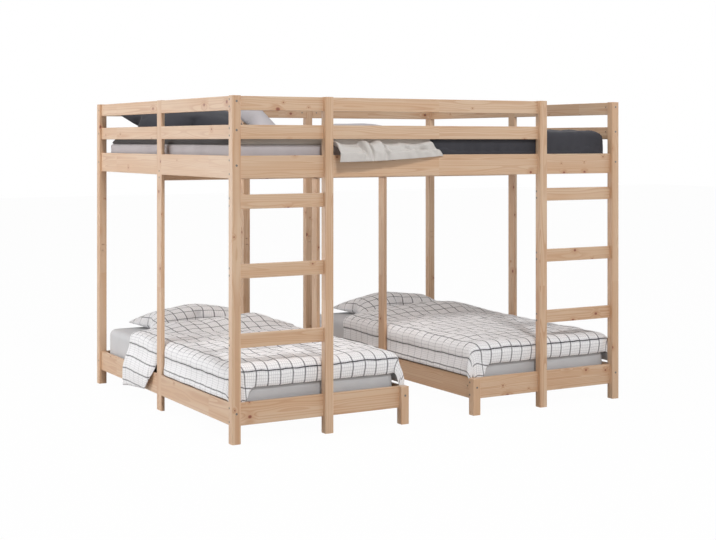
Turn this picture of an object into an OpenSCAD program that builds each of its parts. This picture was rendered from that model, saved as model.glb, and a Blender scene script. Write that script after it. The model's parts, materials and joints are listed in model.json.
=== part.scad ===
// Pine bunk bed: two single beds side by side at floor level, with one broad
// bunk deck over both. Square posts carry bolted rails, and two ladders of
// flat rungs climb the front. X runs along the front, Y to the back, Z up.
// The origin lies on the floor, under the middle of the frame.

/* [Overall] */
// Height of the full-length posts
post_height = 1815; // [1700:5:2000]
// Clear width of the aisle between the two lower beds
aisle_width = 436; // [380:2:600]
// Clear width of each ladder bay, between its posts
ladder_width = 500; // [420:5:560]

/* [Timber] */
// Side of a square post
post_size = 50; // [44:1:60]
// Rounding of a post's long edges
post_round = 5; // [2:0.5:8]
// Thickness of every rail, rung, guard board and flat middle post
board_thick = 22; // [18:1:28]
// Rounding of a board's long edges
board_round = 3; // [1:0.5:5]
// Height of a guard board, a rung and the middle beam
guard_height = 75; // [60:1:95]
// Height of a bed rail
rail_height = 120; // [100:1:150]
// Width of the flat middle posts
flat_post_width = 70; // [56:1:90]

/* [Levels] */
// Underside of the lower bed rails above the floor
lower_rail_z = 90; // [60:1:140]
// Gap between the two guard boards
guard_gap = 76; // [60:1:95]
// Gap between the bunk deck's rail and the middle guard board
deck_gap = 87; // [70:1:100]
// Gap between the top rung and the bunk deck's rail
top_rung_gap = 84; // [60:1:110]
// Step from one rung to the next
rung_pitch = 363.5; // [320:0.5:375]
// Rungs in each ladder
rung_count = 3; // [2:1:3]
// Depth of the top guard board's upper edge below the post tops
guard_drop = 2; // [0:0.5:8]

/* [Slats] */
// Width of a ledger strip
ledger_width = 24; // [18:1:30]
// Height of a ledger strip
ledger_height = 40; // [30:1:50]
// Thickness of a slat
slat_thick = 18; // [12:1:22]
// Width of a slat
slat_width = 70; // [50:1:90]
// Slats in each lower bed
lower_slat_count = 14; // [10:1:18]
// Slats across the bunk deck
deck_slat_count = 17; // [12:1:22]
// Play at each end of a slat
slat_play = 2; // [1:0.5:4]

/* [Hardware] */
// Diameter of a connector bolt
bolt_d = 6; // [5:0.5:8]
// Diameter of a connector bolt's head
bolt_head_d = 12; // [11:0.5:15]
// Thickness of a connector bolt's head
bolt_head_h = 2.5; // [2:0.5:4]
// Reach of a connector bolt into a board's end
bolt_reach = 42; // [34:1:55]
// Distance of a barrel nut from a board's end
nut_inset = 32; // [24:1:40]
// Diameter of a barrel nut
nut_d = 10; // [9:0.5:12]
// Spacing of the two bolts in a guard board or rung
guard_bolt_pitch = 38; // [30:1:44]
// Spacing of the two bolts in a bed rail
rail_bolt_pitch = 72; // [50:1:84]
// Diameter of the spare holes in the back posts
spare_hole_d = 8; // [6:0.5:10]
// Drop of the lower spare hole below the bunk deck's rail
spare_hole_drop = 515; // [380:1:680]
// Spacing of the two spare holes
spare_hole_pitch = 40; // [30:1:60]

/* [Bedding] */
// Width of a lower mattress
mattress_width = 990; // [900:10:1200]
// Length of every mattress
mattress_length = 1970; // [1900:10:2100]
// Height of a lower mattress at its edge
mattress_height = 196; // [120:2:200]
// Play on each long side of a lower mattress
mattress_side_play = 9; // [6:1:14]
// Play at each end of a lower mattress
mattress_end_play = 21; // [14:1:30]
// Height of a mattress on the bunk deck at its edge
deck_mattress_height = 112; // [80:2:120]
// Width of a mattress on the bunk deck
deck_mattress_width = 1190; // [900:10:1210]
// Gap between the left deck mattress and the side boards
deck_left_gap = 24; // [6:1:40]
// Gap between the right deck mattress and the side boards
deck_right_gap = 67; // [40:1:70]
// Crown of a mattress above its edge
mattress_crown = 9; // [4:1:16]
// Thickness of a lower duvet
duvet_thick = 44; // [30:1:60]
// Rise of a lower duvet where it is bunched up before the pillow
duvet_hump = 56; // [0:1:70]
// Length of a lower duvet's skirt at its sides
side_drop = 118; // [60:2:128]
// Length of a duvet's skirt over the foot of a lower bed
foot_drop = 68; // [40:2:110]
// Thickness of the thick duvet on the right of the deck
deck_duvet_thick = 92; // [50:2:96]
// Thickness of the flat duvet on the left of the deck
flat_duvet_thick = 50; // [30:2:60]
// Length of the corner turned over the front of the deck
turnover_length = 681; // [400:1:800]
// Hang of that corner at its left end
turnover_hang = 38; // [20:1:60]
// Hang of that corner at its right end
turnover_end_hang = 8; // [4:1:20]
// Length of the corner hung over the left bed's outer rail
corner_length = 480; // [300:5:560]
// Hang of that corner at its back end
corner_hang = 175; // [120:1:190]
// Hang of that corner at its front end
corner_front_hang = 105; // [80:1:150]
// Length of a lower pillow across the bed
pillow_length = 780; // [600:10:860]
// Width of a lower pillow along the bed
pillow_width = 480; // [400:10:560]
// Height of a lower pillow at its middle
pillow_height = 150; // [100:5:180]
// Length of a deck pillow across the bed
deck_pillow_length = 940; // [600:10:1000]
// Width of a deck pillow along the bed
deck_pillow_width = 540; // [400:10:560]
// Height of a deck pillow at its middle
deck_pillow_height = 150; // [100:5:170]
// Distance that the left deck pillow lies left of its mattress's middle
deck_pillow_shift = 40; // [0:5:60]

/* [Hidden] */
$fn = 48;

// Directions and ends used by name
X = 0;
Y = 1;
Z = 2;
LEFT = -1;
RIGHT = 1;
FRONT = -1;
BACK = 1;

// Hole clearances
bolt_hole_d = bolt_d + 1;
head_recess_gap = 0.5;
nut_hole_gap = 0.1;
thread_gap = 0.05;
hex_key_d = 4;
hex_key_depth = 1.6;
// Seating gap under soft pieces
soft_gap = 0.4;
// Overcut that keeps a hole clear of the face it starts from
overcut = 1;

// Frame set-out, measured from the middle
side_recess = (post_size - board_thick) / 2;
lower_bed_width = mattress_width + 2 * mattress_side_play + 2 * (side_recess + board_thick);
bed_length = 2 * lower_bed_width + aisle_width;
bed_depth = mattress_length + 2 * mattress_end_play + 2 * post_size;
half_length = bed_length / 2;
half_depth = bed_depth / 2;
post_near = half_length - post_size;
ladder_post_near = post_near - ladder_width - post_size;
inner_post_near = aisle_width / 2;
end_face = half_depth - post_size;
side_board_near = half_length - side_recess - board_thick;
inner_board_near = inner_post_near + side_recess;
half_flat = flat_post_width / 2;
top_guard_z = post_height - guard_drop - guard_height;
mid_guard_z = top_guard_z - guard_gap - guard_height;
deck_rail_z = mid_guard_z - deck_gap - rail_height;
top_rung_z = deck_rail_z - top_rung_gap - guard_height;
rungs = [for (i = [rung_count - 1 : -1 : 0]) top_rung_z - i * rung_pitch];
spare_hole_z = deck_rail_z - spare_hole_drop;

// Levels of what lies on the ledgers
deck_ledger_top = deck_rail_z + ledger_height;
lower_ledger_top = lower_rail_z + ledger_height;
beam_z = deck_ledger_top - guard_height;
deck_slat_top = deck_ledger_top + slat_thick;
lower_slat_top = lower_ledger_top + slat_thick;

// Colours
pine = [0.86, 0.72, 0.58];
pine_dark = [0.74, 0.58, 0.45];
slat_pine = [0.80, 0.66, 0.52];
steel = [0.62, 0.62, 0.64];
ticking = [0.72, 0.73, 0.74];
plaid = [0.93, 0.93, 0.94];
charcoal = [0.28, 0.29, 0.33];
lining = [0.80, 0.77, 0.74];

// ---- Joints -------------------------------------------------------------
// A joint is [kind, place, axis, way, through, nut axis]. A bolt's place is
// the middle of the outer post face that its head sits in, and a stud's is
// the middle of the post that it runs through. The way is +1 or -1 along the
// axis, and through is how much timber lies between the head and the board.

// Bolts into a post's second face pass above those of its first
cross_offset = 9;
function offset_levels(levels) = [for (z = levels) z + cross_offset];
function pair(z, height, pitch) = [z + height / 2 - pitch / 2, z + height / 2 + pitch / 2];
function middle(z, height) = [z + height / 2];
guard_levels = concat(pair(top_guard_z, guard_height, guard_bolt_pitch),
                      pair(mid_guard_z, guard_height, guard_bolt_pitch));
deck_levels = pair(deck_rail_z, rail_height, rail_bolt_pitch);
lower_levels = pair(lower_rail_z, rail_height, rail_bolt_pitch);
rung_levels = [for (z = rungs) each pair(z, guard_height, guard_bolt_pitch)];
side_levels = concat(middle(top_guard_z, guard_height), middle(mid_guard_z, guard_height),
                     middle(deck_rail_z, rail_height));
lower_side_level = middle(lower_rail_z, rail_height);

// Line of the bolts in the front boards, the back boards and the side boards
front_line = -end_face - board_thick / 2;
back_line = end_face + board_thick / 2;
side_line = side_board_near + board_thick / 2;
inner_line = inner_board_near + board_thick / 2;

function bolts_x(x, way, y, levels) =
    [for (z = levels) ["bolt", [x, y, z], X, way, post_size, Y]];
function bolts_y(x, y, way, levels) =
    [for (z = levels) ["bolt", [x, y, z], Y, way, post_size, X]];
function studs_x(x, y, levels) =
    [for (z = levels) ["stud", [x, y, z], X, 1, post_size, Y]];
function studs_y(x, levels) =
    [for (z = levels) ["stud", [x, 0, z], Y, 1, flat_post_width, X]];

JOINTS = concat(
    // front corner posts
    bolts_x(-half_length, 1, front_line, concat(guard_levels, deck_levels, lower_levels, rung_levels)),
    bolts_x(half_length, -1, front_line, concat(deck_levels, lower_levels, rung_levels)),
    // ladder posts
    studs_x(-ladder_post_near - post_size / 2, front_line, concat(guard_levels, deck_levels, lower_levels)),
    bolts_x(-ladder_post_near, -1, front_line, rung_levels),
    studs_x(ladder_post_near + post_size / 2, front_line, concat(deck_levels, lower_levels)),
    bolts_x(ladder_post_near, 1, front_line, rung_levels),
    bolts_x(ladder_post_near + post_size, -1, front_line, guard_levels),
    // short legs
    bolts_x(-inner_post_near, -1, front_line, lower_levels),
    bolts_x(inner_post_near, 1, front_line, lower_levels),
    // back row
    bolts_x(-half_length, 1, back_line, concat(side_levels, lower_side_level)),
    bolts_x(half_length, -1, back_line, concat(side_levels, lower_side_level)),
    studs_x(-inner_post_near - post_size / 2, back_line, side_levels),
    studs_x(inner_post_near + post_size / 2, back_line, side_levels),
    bolts_x(-inner_post_near, -1, back_line, lower_side_level),
    bolts_x(inner_post_near, 1, back_line, lower_side_level),
    // sides of the frame
    [for (s = [LEFT, RIGHT]) each concat(
        bolts_y(s * side_line, -half_depth, 1, offset_levels(concat(side_levels, lower_side_level))),
        bolts_y(s * side_line, half_depth, -1, offset_levels(concat(side_levels, lower_side_level))),
        studs_y(s * side_line, concat(side_levels, lower_side_level)))],
    // aisle sides of the lower beds
    [for (s = [LEFT, RIGHT]) each concat(
        bolts_y(s * inner_line, -half_depth, 1, offset_levels(lower_side_level)),
        bolts_y(s * inner_line, half_depth, -1, offset_levels(lower_side_level)),
        studs_y(s * inner_line, lower_side_level))],
    // middle beam, through the flat posts
    [for (s = [LEFT, RIGHT]) for (z = pair(beam_z, guard_height, guard_bolt_pitch))
        ["bolt", [s * (side_board_near + board_thick), 0, z], X, -s, board_thick, Y]]
);

function unit(axis) = [axis == X ? 1 : 0, axis == Y ? 1 : 0, axis == Z ? 1 : 0];
function reach_of(j) = j[4] + bolt_reach;
// Lowest and highest end of a joint along its own axis
function joint_span(j) = j[0] == "stud"
    ? [j[1][j[2]] - j[4] / 2 - bolt_reach, j[1][j[2]] + j[4] / 2 + bolt_reach]
    : [min(j[1][j[2]], j[1][j[2]] + j[3] * reach_of(j)), max(j[1][j[2]], j[1][j[2]] + j[3] * reach_of(j))];
function outside(value, low, high, margin) = value < low - margin || value > high + margin;
// True where a joint lies in or touches the block of timber at low
function meets(j, low, size) =
    len([for (a = [X, Y, Z])
        if (a == j[2]
            ? joint_span(j)[1] < low[a] || joint_span(j)[0] > low[a] + size[a]
            : outside(j[1][a], low[a], low[a] + size[a], nut_d / 2)) a]) == 0;
// Places of a joint's barrel nuts
function nut_places(j) = j[0] == "stud"
    ? [for (s = [-1, 1]) j[1] + s * (j[4] / 2 + nut_inset) * unit(j[2])]
    : [j[1] + j[3] * (j[4] + nut_inset) * unit(j[2])];
// The nut's hole opens towards the middle of the bed
function inward(j) = j[1][j[5]] > 0 ? -1 : 1;

module along(axis) {
    if (axis == X) rotate([0, 90, 0]) children();
    else if (axis == Y) rotate([-90, 0, 0]) children();
    else children();
}

module joint_hole(j) {
    span = joint_span(j);
    centre = [for (a = [X, Y, Z]) a == j[2] ? span[0] - overcut : j[1][a]];
    translate(centre) along(j[2]) cylinder(h = span[1] - span[0] + 2 * overcut, d = bolt_hole_d);
    if (j[0] == "bolt") {
        recess = bolt_head_h + head_recess_gap;
        start = j[3] > 0 ? -overcut : -recess;
        translate(j[1] + start * unit(j[2])) along(j[2])
            cylinder(h = recess + overcut, d = bolt_head_d + 2 * head_recess_gap);
    }
    for (p = nut_places(j)) {
        blind = nut_length() / 2;
        start = inward(j) > 0 ? -blind : -board_thick / 2 - overcut;
        translate(p + start * unit(j[5])) along(j[5])
            cylinder(h = blind + board_thick / 2 + overcut, d = nut_d + nut_hole_gap);
    }
}

function nut_length() = board_thick - 6;

// ---- Timber -------------------------------------------------------------

module rounded_rect(width, height, r) {
    translate([r, 0]) square([width - 2 * r, height]);
    translate([0, r]) square([width, height - 2 * r]);
    for (x = [r, width - r]) for (y = [r, height - r]) translate([x, y]) circle(r = r);
}

// A bar with rounded long edges, from its lowest corner
module bar(size, axis, r) {
    if (axis == X)
        rotate([90, 0, 90]) linear_extrude(size[X]) rounded_rect(size[Y], size[Z], r);
    else if (axis == Y)
        translate([0, size[Y], 0]) rotate([90, 0, 0]) linear_extrude(size[Y]) rounded_rect(size[X], size[Z], r);
    else
        linear_extrude(size[Z]) rounded_rect(size[X], size[Y], r);
}

// A bar in place, drilled for every joint that meets it
module timber(low, size, axis, r) {
    difference() {
        translate(low) bar(size, axis, r);
        for (j = JOINTS) if (meets(j, low, size)) joint_hole(j);
    }
}

module board_x(x0, x1, y, z, height) {
    timber([x0, y, z], [x1 - x0, board_thick, height], X, board_round);
}

module board_y(x, y0, y1, z, height) {
    timber([x, y0, z], [board_thick, y1 - y0, height], Y, board_round);
}

// A post with eased ends; spare holes run through it front to back
module post(x, y, height, spare = false) {
    ease = board_round;
    low = [x, y, 0];
    size = [post_size, post_size, height];
    difference() {
        intersection() {
            timber(low, size, Z, post_round);
            translate([x, y + post_size + overcut, 0]) rotate([90, 0, 0])
                linear_extrude(post_size + 2 * overcut) eased_side(height, ease);
            translate([x - overcut, y, 0]) rotate([90, 0, 90])
                linear_extrude(post_size + 2 * overcut) eased_side(height, ease);
        }
        if (spare)
            for (i = [0, 1])
                translate([x + post_size / 2, y - overcut, spare_hole_z + i * spare_hole_pitch])
                    along(Y) cylinder(h = post_size + 2 * overcut, d = spare_hole_d);
    }
}

// Side view of a post whose top edges are rounded
module eased_side(height, r) {
    square([post_size, height - r]);
    translate([r, 0]) square([post_size - 2 * r, height]);
    for (x = [r, post_size - r]) translate([x, height - r]) circle(r = r);
}

module flat_post(s, near, height) {
    low = [s > 0 ? near : -near - board_thick, -half_flat, 0];
    timber(low, [board_thick, flat_post_width, height], Z, board_round);
}

// Low X of a board or post at distance near from the middle, of the given width
function low_x(s, near, width) = s > 0 ? near : -near - width;

module post_front_left() { color(pine) post(-half_length, -half_depth, post_height); }
module post_front_right() { color(pine) post(post_near, -half_depth, post_height); }
module post_back_left() { color(pine) post(-half_length, end_face, post_height, true); }
module post_back_right() { color(pine) post(post_near, end_face, post_height, true); }
module post_back_inner_left() {
    color(pine) post(low_x(LEFT, inner_post_near, post_size), end_face, post_height, true);
}
module post_back_inner_right() {
    color(pine) post(low_x(RIGHT, inner_post_near, post_size), end_face, post_height, true);
}
module ladder_post_left() {
    color(pine) post(low_x(LEFT, ladder_post_near, post_size), -half_depth, post_height);
}
module ladder_post_right() {
    color(pine) post(low_x(RIGHT, ladder_post_near, post_size), -half_depth, post_height);
}
short_leg_height = lower_rail_z + rail_height;
module short_leg_left() {
    color(pine) post(low_x(LEFT, inner_post_near, post_size), -half_depth, short_leg_height);
}
module short_leg_right() {
    color(pine) post(low_x(RIGHT, inner_post_near, post_size), -half_depth, short_leg_height);
}
module flat_post_left() { color(pine) flat_post(LEFT, side_board_near, post_height); }
module flat_post_right() { color(pine) flat_post(RIGHT, side_board_near, post_height); }
module flat_post_inner_left() { color(pine) flat_post(LEFT, inner_board_near, beam_z); }
module flat_post_inner_right() { color(pine) flat_post(RIGHT, inner_board_near, beam_z); }

// Boards of the front row, flush with the posts' inner faces
front_board_y = -end_face - board_thick;
module front_left_bay(z, height) {
    board_x(-post_near, -ladder_post_near - post_size, front_board_y, z, height);
}
module front_middle_bay(z, height) { board_x(-ladder_post_near, ladder_post_near, front_board_y, z, height); }
module front_right_bay(z, height) {
    board_x(ladder_post_near + post_size, post_near, front_board_y, z, height);
}

module front_guard(z) {
    color(pine) {
        front_left_bay(z, guard_height);
        front_middle_bay(z, guard_height);
    }
}
module front_top_guard() { front_guard(top_guard_z); }
module front_mid_guard() { front_guard(mid_guard_z); }
module front_deck_rail() {
    color(pine) {
        front_left_bay(deck_rail_z, rail_height);
        front_middle_bay(deck_rail_z, rail_height);
        front_right_bay(deck_rail_z, rail_height);
    }
}
module ladder_rungs_left() { color(pine) for (z = rungs) front_left_bay(z, guard_height); }
module ladder_rungs_right() { color(pine) for (z = rungs) front_right_bay(z, guard_height); }

// Boards of the back row, in three bays between the back posts
module back_row(z, height) {
    color(pine) {
        board_x(-post_near, -inner_post_near - post_size, end_face, z, height);
        board_x(-inner_post_near, inner_post_near, end_face, z, height);
        board_x(inner_post_near + post_size, post_near, end_face, z, height);
    }
}
module back_top_guard() { back_row(top_guard_z, guard_height); }
module back_mid_guard() { back_row(mid_guard_z, guard_height); }
module back_deck_rail() { back_row(deck_rail_z, rail_height); }

// Two boards that meet a flat middle post edge to edge
module side_row(s, near, z, height) {
    x = low_x(s, near, board_thick);
    color(pine) {
        board_y(x, -end_face, -half_flat, z, height);
        board_y(x, half_flat, end_face, z, height);
    }
}
module left_top_guard() { side_row(LEFT, side_board_near, top_guard_z, guard_height); }
module left_mid_guard() { side_row(LEFT, side_board_near, mid_guard_z, guard_height); }
module left_deck_rail() { side_row(LEFT, side_board_near, deck_rail_z, rail_height); }
module right_top_guard() { side_row(RIGHT, side_board_near, top_guard_z, guard_height); }
module right_mid_guard() { side_row(RIGHT, side_board_near, mid_guard_z, guard_height); }
module right_deck_rail() { side_row(RIGHT, side_board_near, deck_rail_z, rail_height); }

// Lower beds
module lower_left_foot_rail() {
    color(pine) {
        front_left_bay(lower_rail_z, rail_height);
        board_x(-ladder_post_near, -inner_post_near - post_size, front_board_y, lower_rail_z, rail_height);
    }
}
module lower_right_foot_rail() {
    color(pine) {
        front_right_bay(lower_rail_z, rail_height);
        board_x(inner_post_near + post_size, ladder_post_near, front_board_y, lower_rail_z, rail_height);
    }
}
module lower_left_head_rail() {
    color(pine) board_x(-post_near, -inner_post_near - post_size, end_face, lower_rail_z, rail_height);
}
module lower_right_head_rail() {
    color(pine) board_x(inner_post_near + post_size, post_near, end_face, lower_rail_z, rail_height);
}
module lower_left_outer_rail() { side_row(LEFT, side_board_near, lower_rail_z, rail_height); }
module lower_left_inner_rail() { side_row(LEFT, inner_board_near, lower_rail_z, rail_height); }
module lower_right_outer_rail() { side_row(RIGHT, side_board_near, lower_rail_z, rail_height); }
module lower_right_inner_rail() { side_row(RIGHT, inner_board_near, lower_rail_z, rail_height); }

module middle_beam() {
    color(pine_dark)
        board_x(-side_board_near, side_board_near, -board_thick / 2, beam_z, guard_height);
}

// Ledger strips, screwed to the inside of the rails
module deck_ledgers() {
    color(pine_dark) for (y = [-end_face, end_face - ledger_width])
        translate([-side_board_near, y, deck_rail_z])
            bar([2 * side_board_near, ledger_width, ledger_height], X, board_round / 2);
}
module lower_ledgers(s) {
    color(pine_dark)
        for (x = [low_x(s, side_board_near - ledger_width, ledger_width),
                  low_x(s, inner_board_near + board_thick, ledger_width)])
            translate([x, -end_face, lower_rail_z])
                bar([ledger_width, 2 * end_face, ledger_height], Y, board_round / 2);
}
module lower_left_ledgers() { lower_ledgers(LEFT); }
module lower_right_ledgers() { lower_ledgers(RIGHT); }

// Even places for count strips of the given width between low and high
function strip_places(low, high, width, count) =
    [for (i = [0 : count - 1]) low + (high - low - width) * (i + 0.5) / count + width / (2 * count)];

module deck_slats() {
    color(slat_pine) for (x = strip_places(-side_board_near, side_board_near, slat_width, deck_slat_count))
        translate([x, -end_face + slat_play, deck_ledger_top])
            bar([slat_width, 2 * (end_face - slat_play), slat_thick], Y, board_round);
}
module lower_slats(s) {
    inner = inner_board_near + board_thick + slat_play;
    width = side_board_near - slat_play - inner;
    color(slat_pine) for (y = strip_places(-end_face, end_face, slat_width, lower_slat_count))
        translate([low_x(s, inner, width), y, lower_ledger_top])
            bar([width, slat_width, slat_thick], X, board_round);
}
module lower_left_slats() { lower_slats(LEFT); }
module lower_right_slats() { lower_slats(RIGHT); }

// ---- Hardware -----------------------------------------------------------

module connector_bolts() {
    color(steel) for (j = JOINTS) if (j[0] == "bolt") connector_bolt(j);
}

module connector_bolt(j) {
    head = head_recess_gap;
    length = reach_of(j) - head;
    way = j[3];
    start = way > 0 ? head : -head - length;
    head_start = way > 0 ? head : -head - bolt_head_h;
    key_start = way > 0 ? head - overcut : -head - hex_key_depth;
    difference() {
        union() {
            translate(j[1] + start * unit(j[2])) along(j[2]) cylinder(h = length, d = bolt_d);
            translate(j[1] + head_start * unit(j[2])) along(j[2]) cylinder(h = bolt_head_h, d = bolt_head_d);
        }
        translate(j[1] + key_start * unit(j[2])) along(j[2])
            cylinder(h = hex_key_depth + overcut, d = hex_key_d, $fn = 6);
    }
}

module connector_studs() {
    color(steel) for (j = JOINTS) if (j[0] == "stud") {
        span = joint_span(j);
        low = [for (a = [X, Y, Z]) a == j[2] ? span[0] : j[1][a]];
        translate(low) along(j[2]) cylinder(h = span[1] - span[0], d = bolt_d);
    }
}

module barrel_nuts() {
    color(steel) for (j = JOINTS) for (p = nut_places(j)) difference() {
        translate(p - nut_length() / 2 * unit(j[5])) along(j[5]) cylinder(h = nut_length(), d = nut_d);
        translate(p - nut_d * unit(j[2])) along(j[2]) cylinder(h = 2 * nut_d, d = bolt_d + 2 * thread_gap);
    }
}

// ---- Bedding ------------------------------------------------------------
// Every soft form is a stack of rings, closed by a fan at each end. Each ring
// has ring_count points, which run round it from the +X side.

ring_count = 40;
draw_in = 5;
roll = 16;
skirt = 26;
rest_gap = mattress_crown + soft_gap;

function turn(i) = 360 * i / ring_count;
// Point i of an even walk round the square from -1 to 1
function square_walk(i) =
    let (step = (i + ring_count / 8) % ring_count * 4 / ring_count, side = floor(step),
         f = 2 * (step - side) - 1)
    side == 0 ? [1, f] : side == 1 ? [-f, 1] : side == 2 ? [-1, -f] : [f, -1];
// Point i of a rounded rectangle with half sizes a and b; power 2 gives an
// ellipse, and higher powers a squarer outline
function outline(i, a, b, power) =
    let (q = square_walk(i), s = pow(pow(abs(q[X]), power) + pow(abs(q[Y]), power), -1 / power))
    [a * s * q[X], b * s * q[Y]];
// The same outline with its sides drawn in between the corners
function drawn_outline(i, a, b, power, depth) =
    let (p = outline(i, a, b, power))
    [p[X] - sign(p[X]) * depth * pow(abs(p[X]) / a, 6) * (1 - pow(p[Y] / b, 2)),
     p[Y] - sign(p[Y]) * depth * pow(abs(p[Y]) / b, 6) * (1 - pow(p[X] / a, 2))];
function clamp(v, low, high) = min(max(v, low), high);
function sum_of(v, i = 0) = i == len(v) ? 0 : v[i] + sum_of(v, i + 1);
function centre_of(ring) = [for (a = [X, Y, Z]) sum_of([for (p = ring) p[a]]) / len(ring)];

// A closed skin through rings of n points each
module skin(levels, n) {
    k = len(levels);
    points = concat([for (ring = levels) each ring], [centre_of(levels[0]), centre_of(levels[k - 1])]);
    sides = [for (r = [0 : k - 2]) for (i = [0 : n - 1])
        let (a = r * n + i, b = r * n + (i + 1) % n)
        each [[a, a + n, b], [b, a + n, b + n]]];
    first = [for (i = [0 : n - 1]) [k * n, i, (i + 1) % n]];
    last = [for (i = [0 : n - 1]) [k * n + 1, (k - 1) * n + (i + 1) % n, (k - 1) * n + i]];
    polyhedron(points = points, faces = concat(sides, first, last), convexity = 6);
}

// Mattress: boxy, with rolled edges, sides drawn in between the corners and
// a crowned top. Each step is [share of the half size, height, inset].
module mattress(width, length, height) {
    steps = [
        [0.6, 0, 0], [1, 0, roll], [1, roll, 0], [1, height / 2, draw_in / 2],
        [1, height - roll, 0], [1, height, roll], [0.75, height + 0.7 * mattress_crown, roll],
        [0.4, height + mattress_crown, roll]
    ];
    skin([for (step = steps) [for (i = [0 : ring_count - 1])
        let (p = step[0] * drawn_outline(i, width / 2 - step[2], length / 2 - step[2], 9, draw_in))
        [p[X], p[Y], step[1]]]], ring_count);
}

// Pillow: full in the middle, with a thin lip and pointed corners. The lip
// is at the given share of its height, and it lies flat on its middle.
module pillow(length, width, height, lip) {
    steps = [
        [0.5, 0], [0.8, 0.35 * lip], [0.93, 0.7 * lip], [1, lip], [0.93, lip + 0.33 * (1 - lip)],
        [0.8, lip + 0.6 * (1 - lip)], [0.6, lip + 0.84 * (1 - lip)], [0.3, 1]
    ];
    skin([for (step = steps) [for (i = [0 : ring_count - 1])
        let (q = square_walk(i), corner = pow(abs(q[X] * q[Y]), 3),
             p = step[0] * (0.95 + 0.06 * corner) * outline(i, length / 2, width / 2, 3.6))
        [p[X], p[Y], step[1] * height]]], ring_count);
}

// Duvet: a puffed quilt whose skirt hangs from a roof that rests on the
// mattress. inner gives the half sizes of the space under it, wall how far
// its skirt stands out, drops the skirt's length on the +X, +Y, -X and -Y
// sides, post_room the half width that the flat posts leave it, and hump its
// extra rise before its +Y end.
module duvet(inner, wall, thick, drops, waves, puff, centre_y, post_room, end_room, hump = 0) {
    function mix_at(i, v) =
        let (q = square_walk(i), x = pow(abs(q[X]), 6), y = pow(abs(q[Y]), 6))
        ((q[X] > 0 ? v[0] : v[2]) * x + (q[Y] > 0 ? v[1] : v[3]) * y) / (x + y);
    function fit(p, z) =
        let (y = max(p[Y] + centre_y, -end_room), near_post = abs(y) < 3 * flat_post_width,
             x = near_post ? clamp(p[X], -post_room, post_room) : p[X])
        [x, y, z];
    outer = [inner[X] + wall, inner[Y] + wall];
    function rib(i) = wall / 4 * (sin(waves * turn(i)) - 1);
    function puff_at(i, k) = puff * sin(3 * turn(i) + 70 * k);
    function hump_at(p) = hump * exp(-pow((inner[Y] - hump_inset - p[Y]) / hump_spread, 2))
        * (1 - pow(abs(p[X]) / outer[X], 8));
    roof = [for (share = [0.6, 1]) [for (i = [0 : ring_count - 1])
        fit(share * outline(i, inner[X], inner[Y], 9), rest_gap)]];
    hem_inside = [for (i = [0 : ring_count - 1])
        fit(outline(i, inner[X], inner[Y], 9), 3 - mix_at(i, drops))];
    hem = [for (i = [0 : ring_count - 1])
        fit(outline(i, outer[X] - wall / 3, outer[Y] - wall / 3, 8), -mix_at(i, drops))];
    side = [for (share = [0.7, 0.1]) [for (i = [0 : ring_count - 1])
        fit(outline(i, outer[X] + rib(i), outer[Y] + rib(i), 8),
            (1 - share) * thick * 0.6 - share * mix_at(i, drops))]];
    top = [for (step = [[0.97, 0.78], [0.86, 0.94], [0.6, 0.9], [0.28, 1]])
        [for (i = [0 : ring_count - 1])
            let (p = step[0] * outline(i, outer[X], outer[Y], 7), flat = 1 - pow(step[0], 4))
            fit(p, rest_gap + (thick - rest_gap) * step[1] + puff_at(i, 10 * step[0]) * flat + hump_at(p))]];
    skin(concat(roof, [hem_inside, hem], side, top), ring_count);
}

// Cloth hung over a rail that stands towards -Y. It runs along +X from the
// origin, which is at the rail's outer top edge. It rises behind the rail by
// rise, reaches back by over, and hangs by hangs[0] at its start and by
// hangs[1] at its end.
module hung_fold(length, hangs, thick, over, rise, folds) {
    stations = 17;
    n = 9;
    rings = [for (s = [0 : stations - 1])
        let (f = s / (stations - 1), wave = (1 + sin(360 * folds * f)) / 2,
             hang = hangs[0] + (hangs[1] - hangs[0]) * pow(f, 3))
        [for (p = [
            [board_thick + 1, soft_gap], [over, 0.3 * rise + soft_gap], [over, rise * (0.9 + 0.1 * wave)],
            [over * 0.5, rise * (0.94 - 0.1 * wave)], [-thick * (1 - wave / 2), rise * 0.6],
            [-thick + wave, soft_gap], [-thick + 2 * wave, 2 - hang], [-soft_gap, -hang], [-soft_gap, soft_gap]
        ]) [length * f, p[0], p[1]]]];
    sides = [for (r = [0 : stations - 2]) for (i = [0 : n - 1])
        let (a = r * n + i, b = r * n + (i + 1) % n)
        each [[a, a + n, b], [b, a + n, b + n]]];
    ends = [[for (i = [0 : n - 1]) i], [for (i = [n - 1 : -1 : 0]) (stations - 1) * n + i]];
    polyhedron(points = [for (ring = rings) each ring], faces = concat(sides, ends), convexity = 6);
}

lower_bed_x = (side_board_near + inner_board_near + board_thick) / 2;
deck_left_x = side_board_near - deck_left_gap - deck_mattress_width / 2;
deck_right_x = side_board_near - deck_right_gap - deck_mattress_width / 2;
lower_bedding_z = lower_slat_top + soft_gap;
deck_bedding_z = deck_slat_top + soft_gap;
lower_top = lower_bedding_z + mattress_height;
deck_top = deck_bedding_z + deck_mattress_height;
half_mattress = mattress_length / 2;

module lower_mattress(s) {
    color(ticking) translate([s * lower_bed_x, 0, lower_bedding_z])
        mattress(mattress_width, mattress_length, mattress_height);
}
module deck_mattress(x) {
    color(ticking) translate([x, 0, deck_bedding_z])
        mattress(deck_mattress_width, mattress_length, deck_mattress_height);
}
module mattress_lower_left() { lower_mattress(LEFT); }
module mattress_lower_right() { lower_mattress(RIGHT); }
module mattress_deck_left() { deck_mattress(-deck_left_x); }
module mattress_deck_right() { deck_mattress(deck_right_x); }

// Pillows lie at the back end of each bed
pillow_inset = 12;
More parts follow.
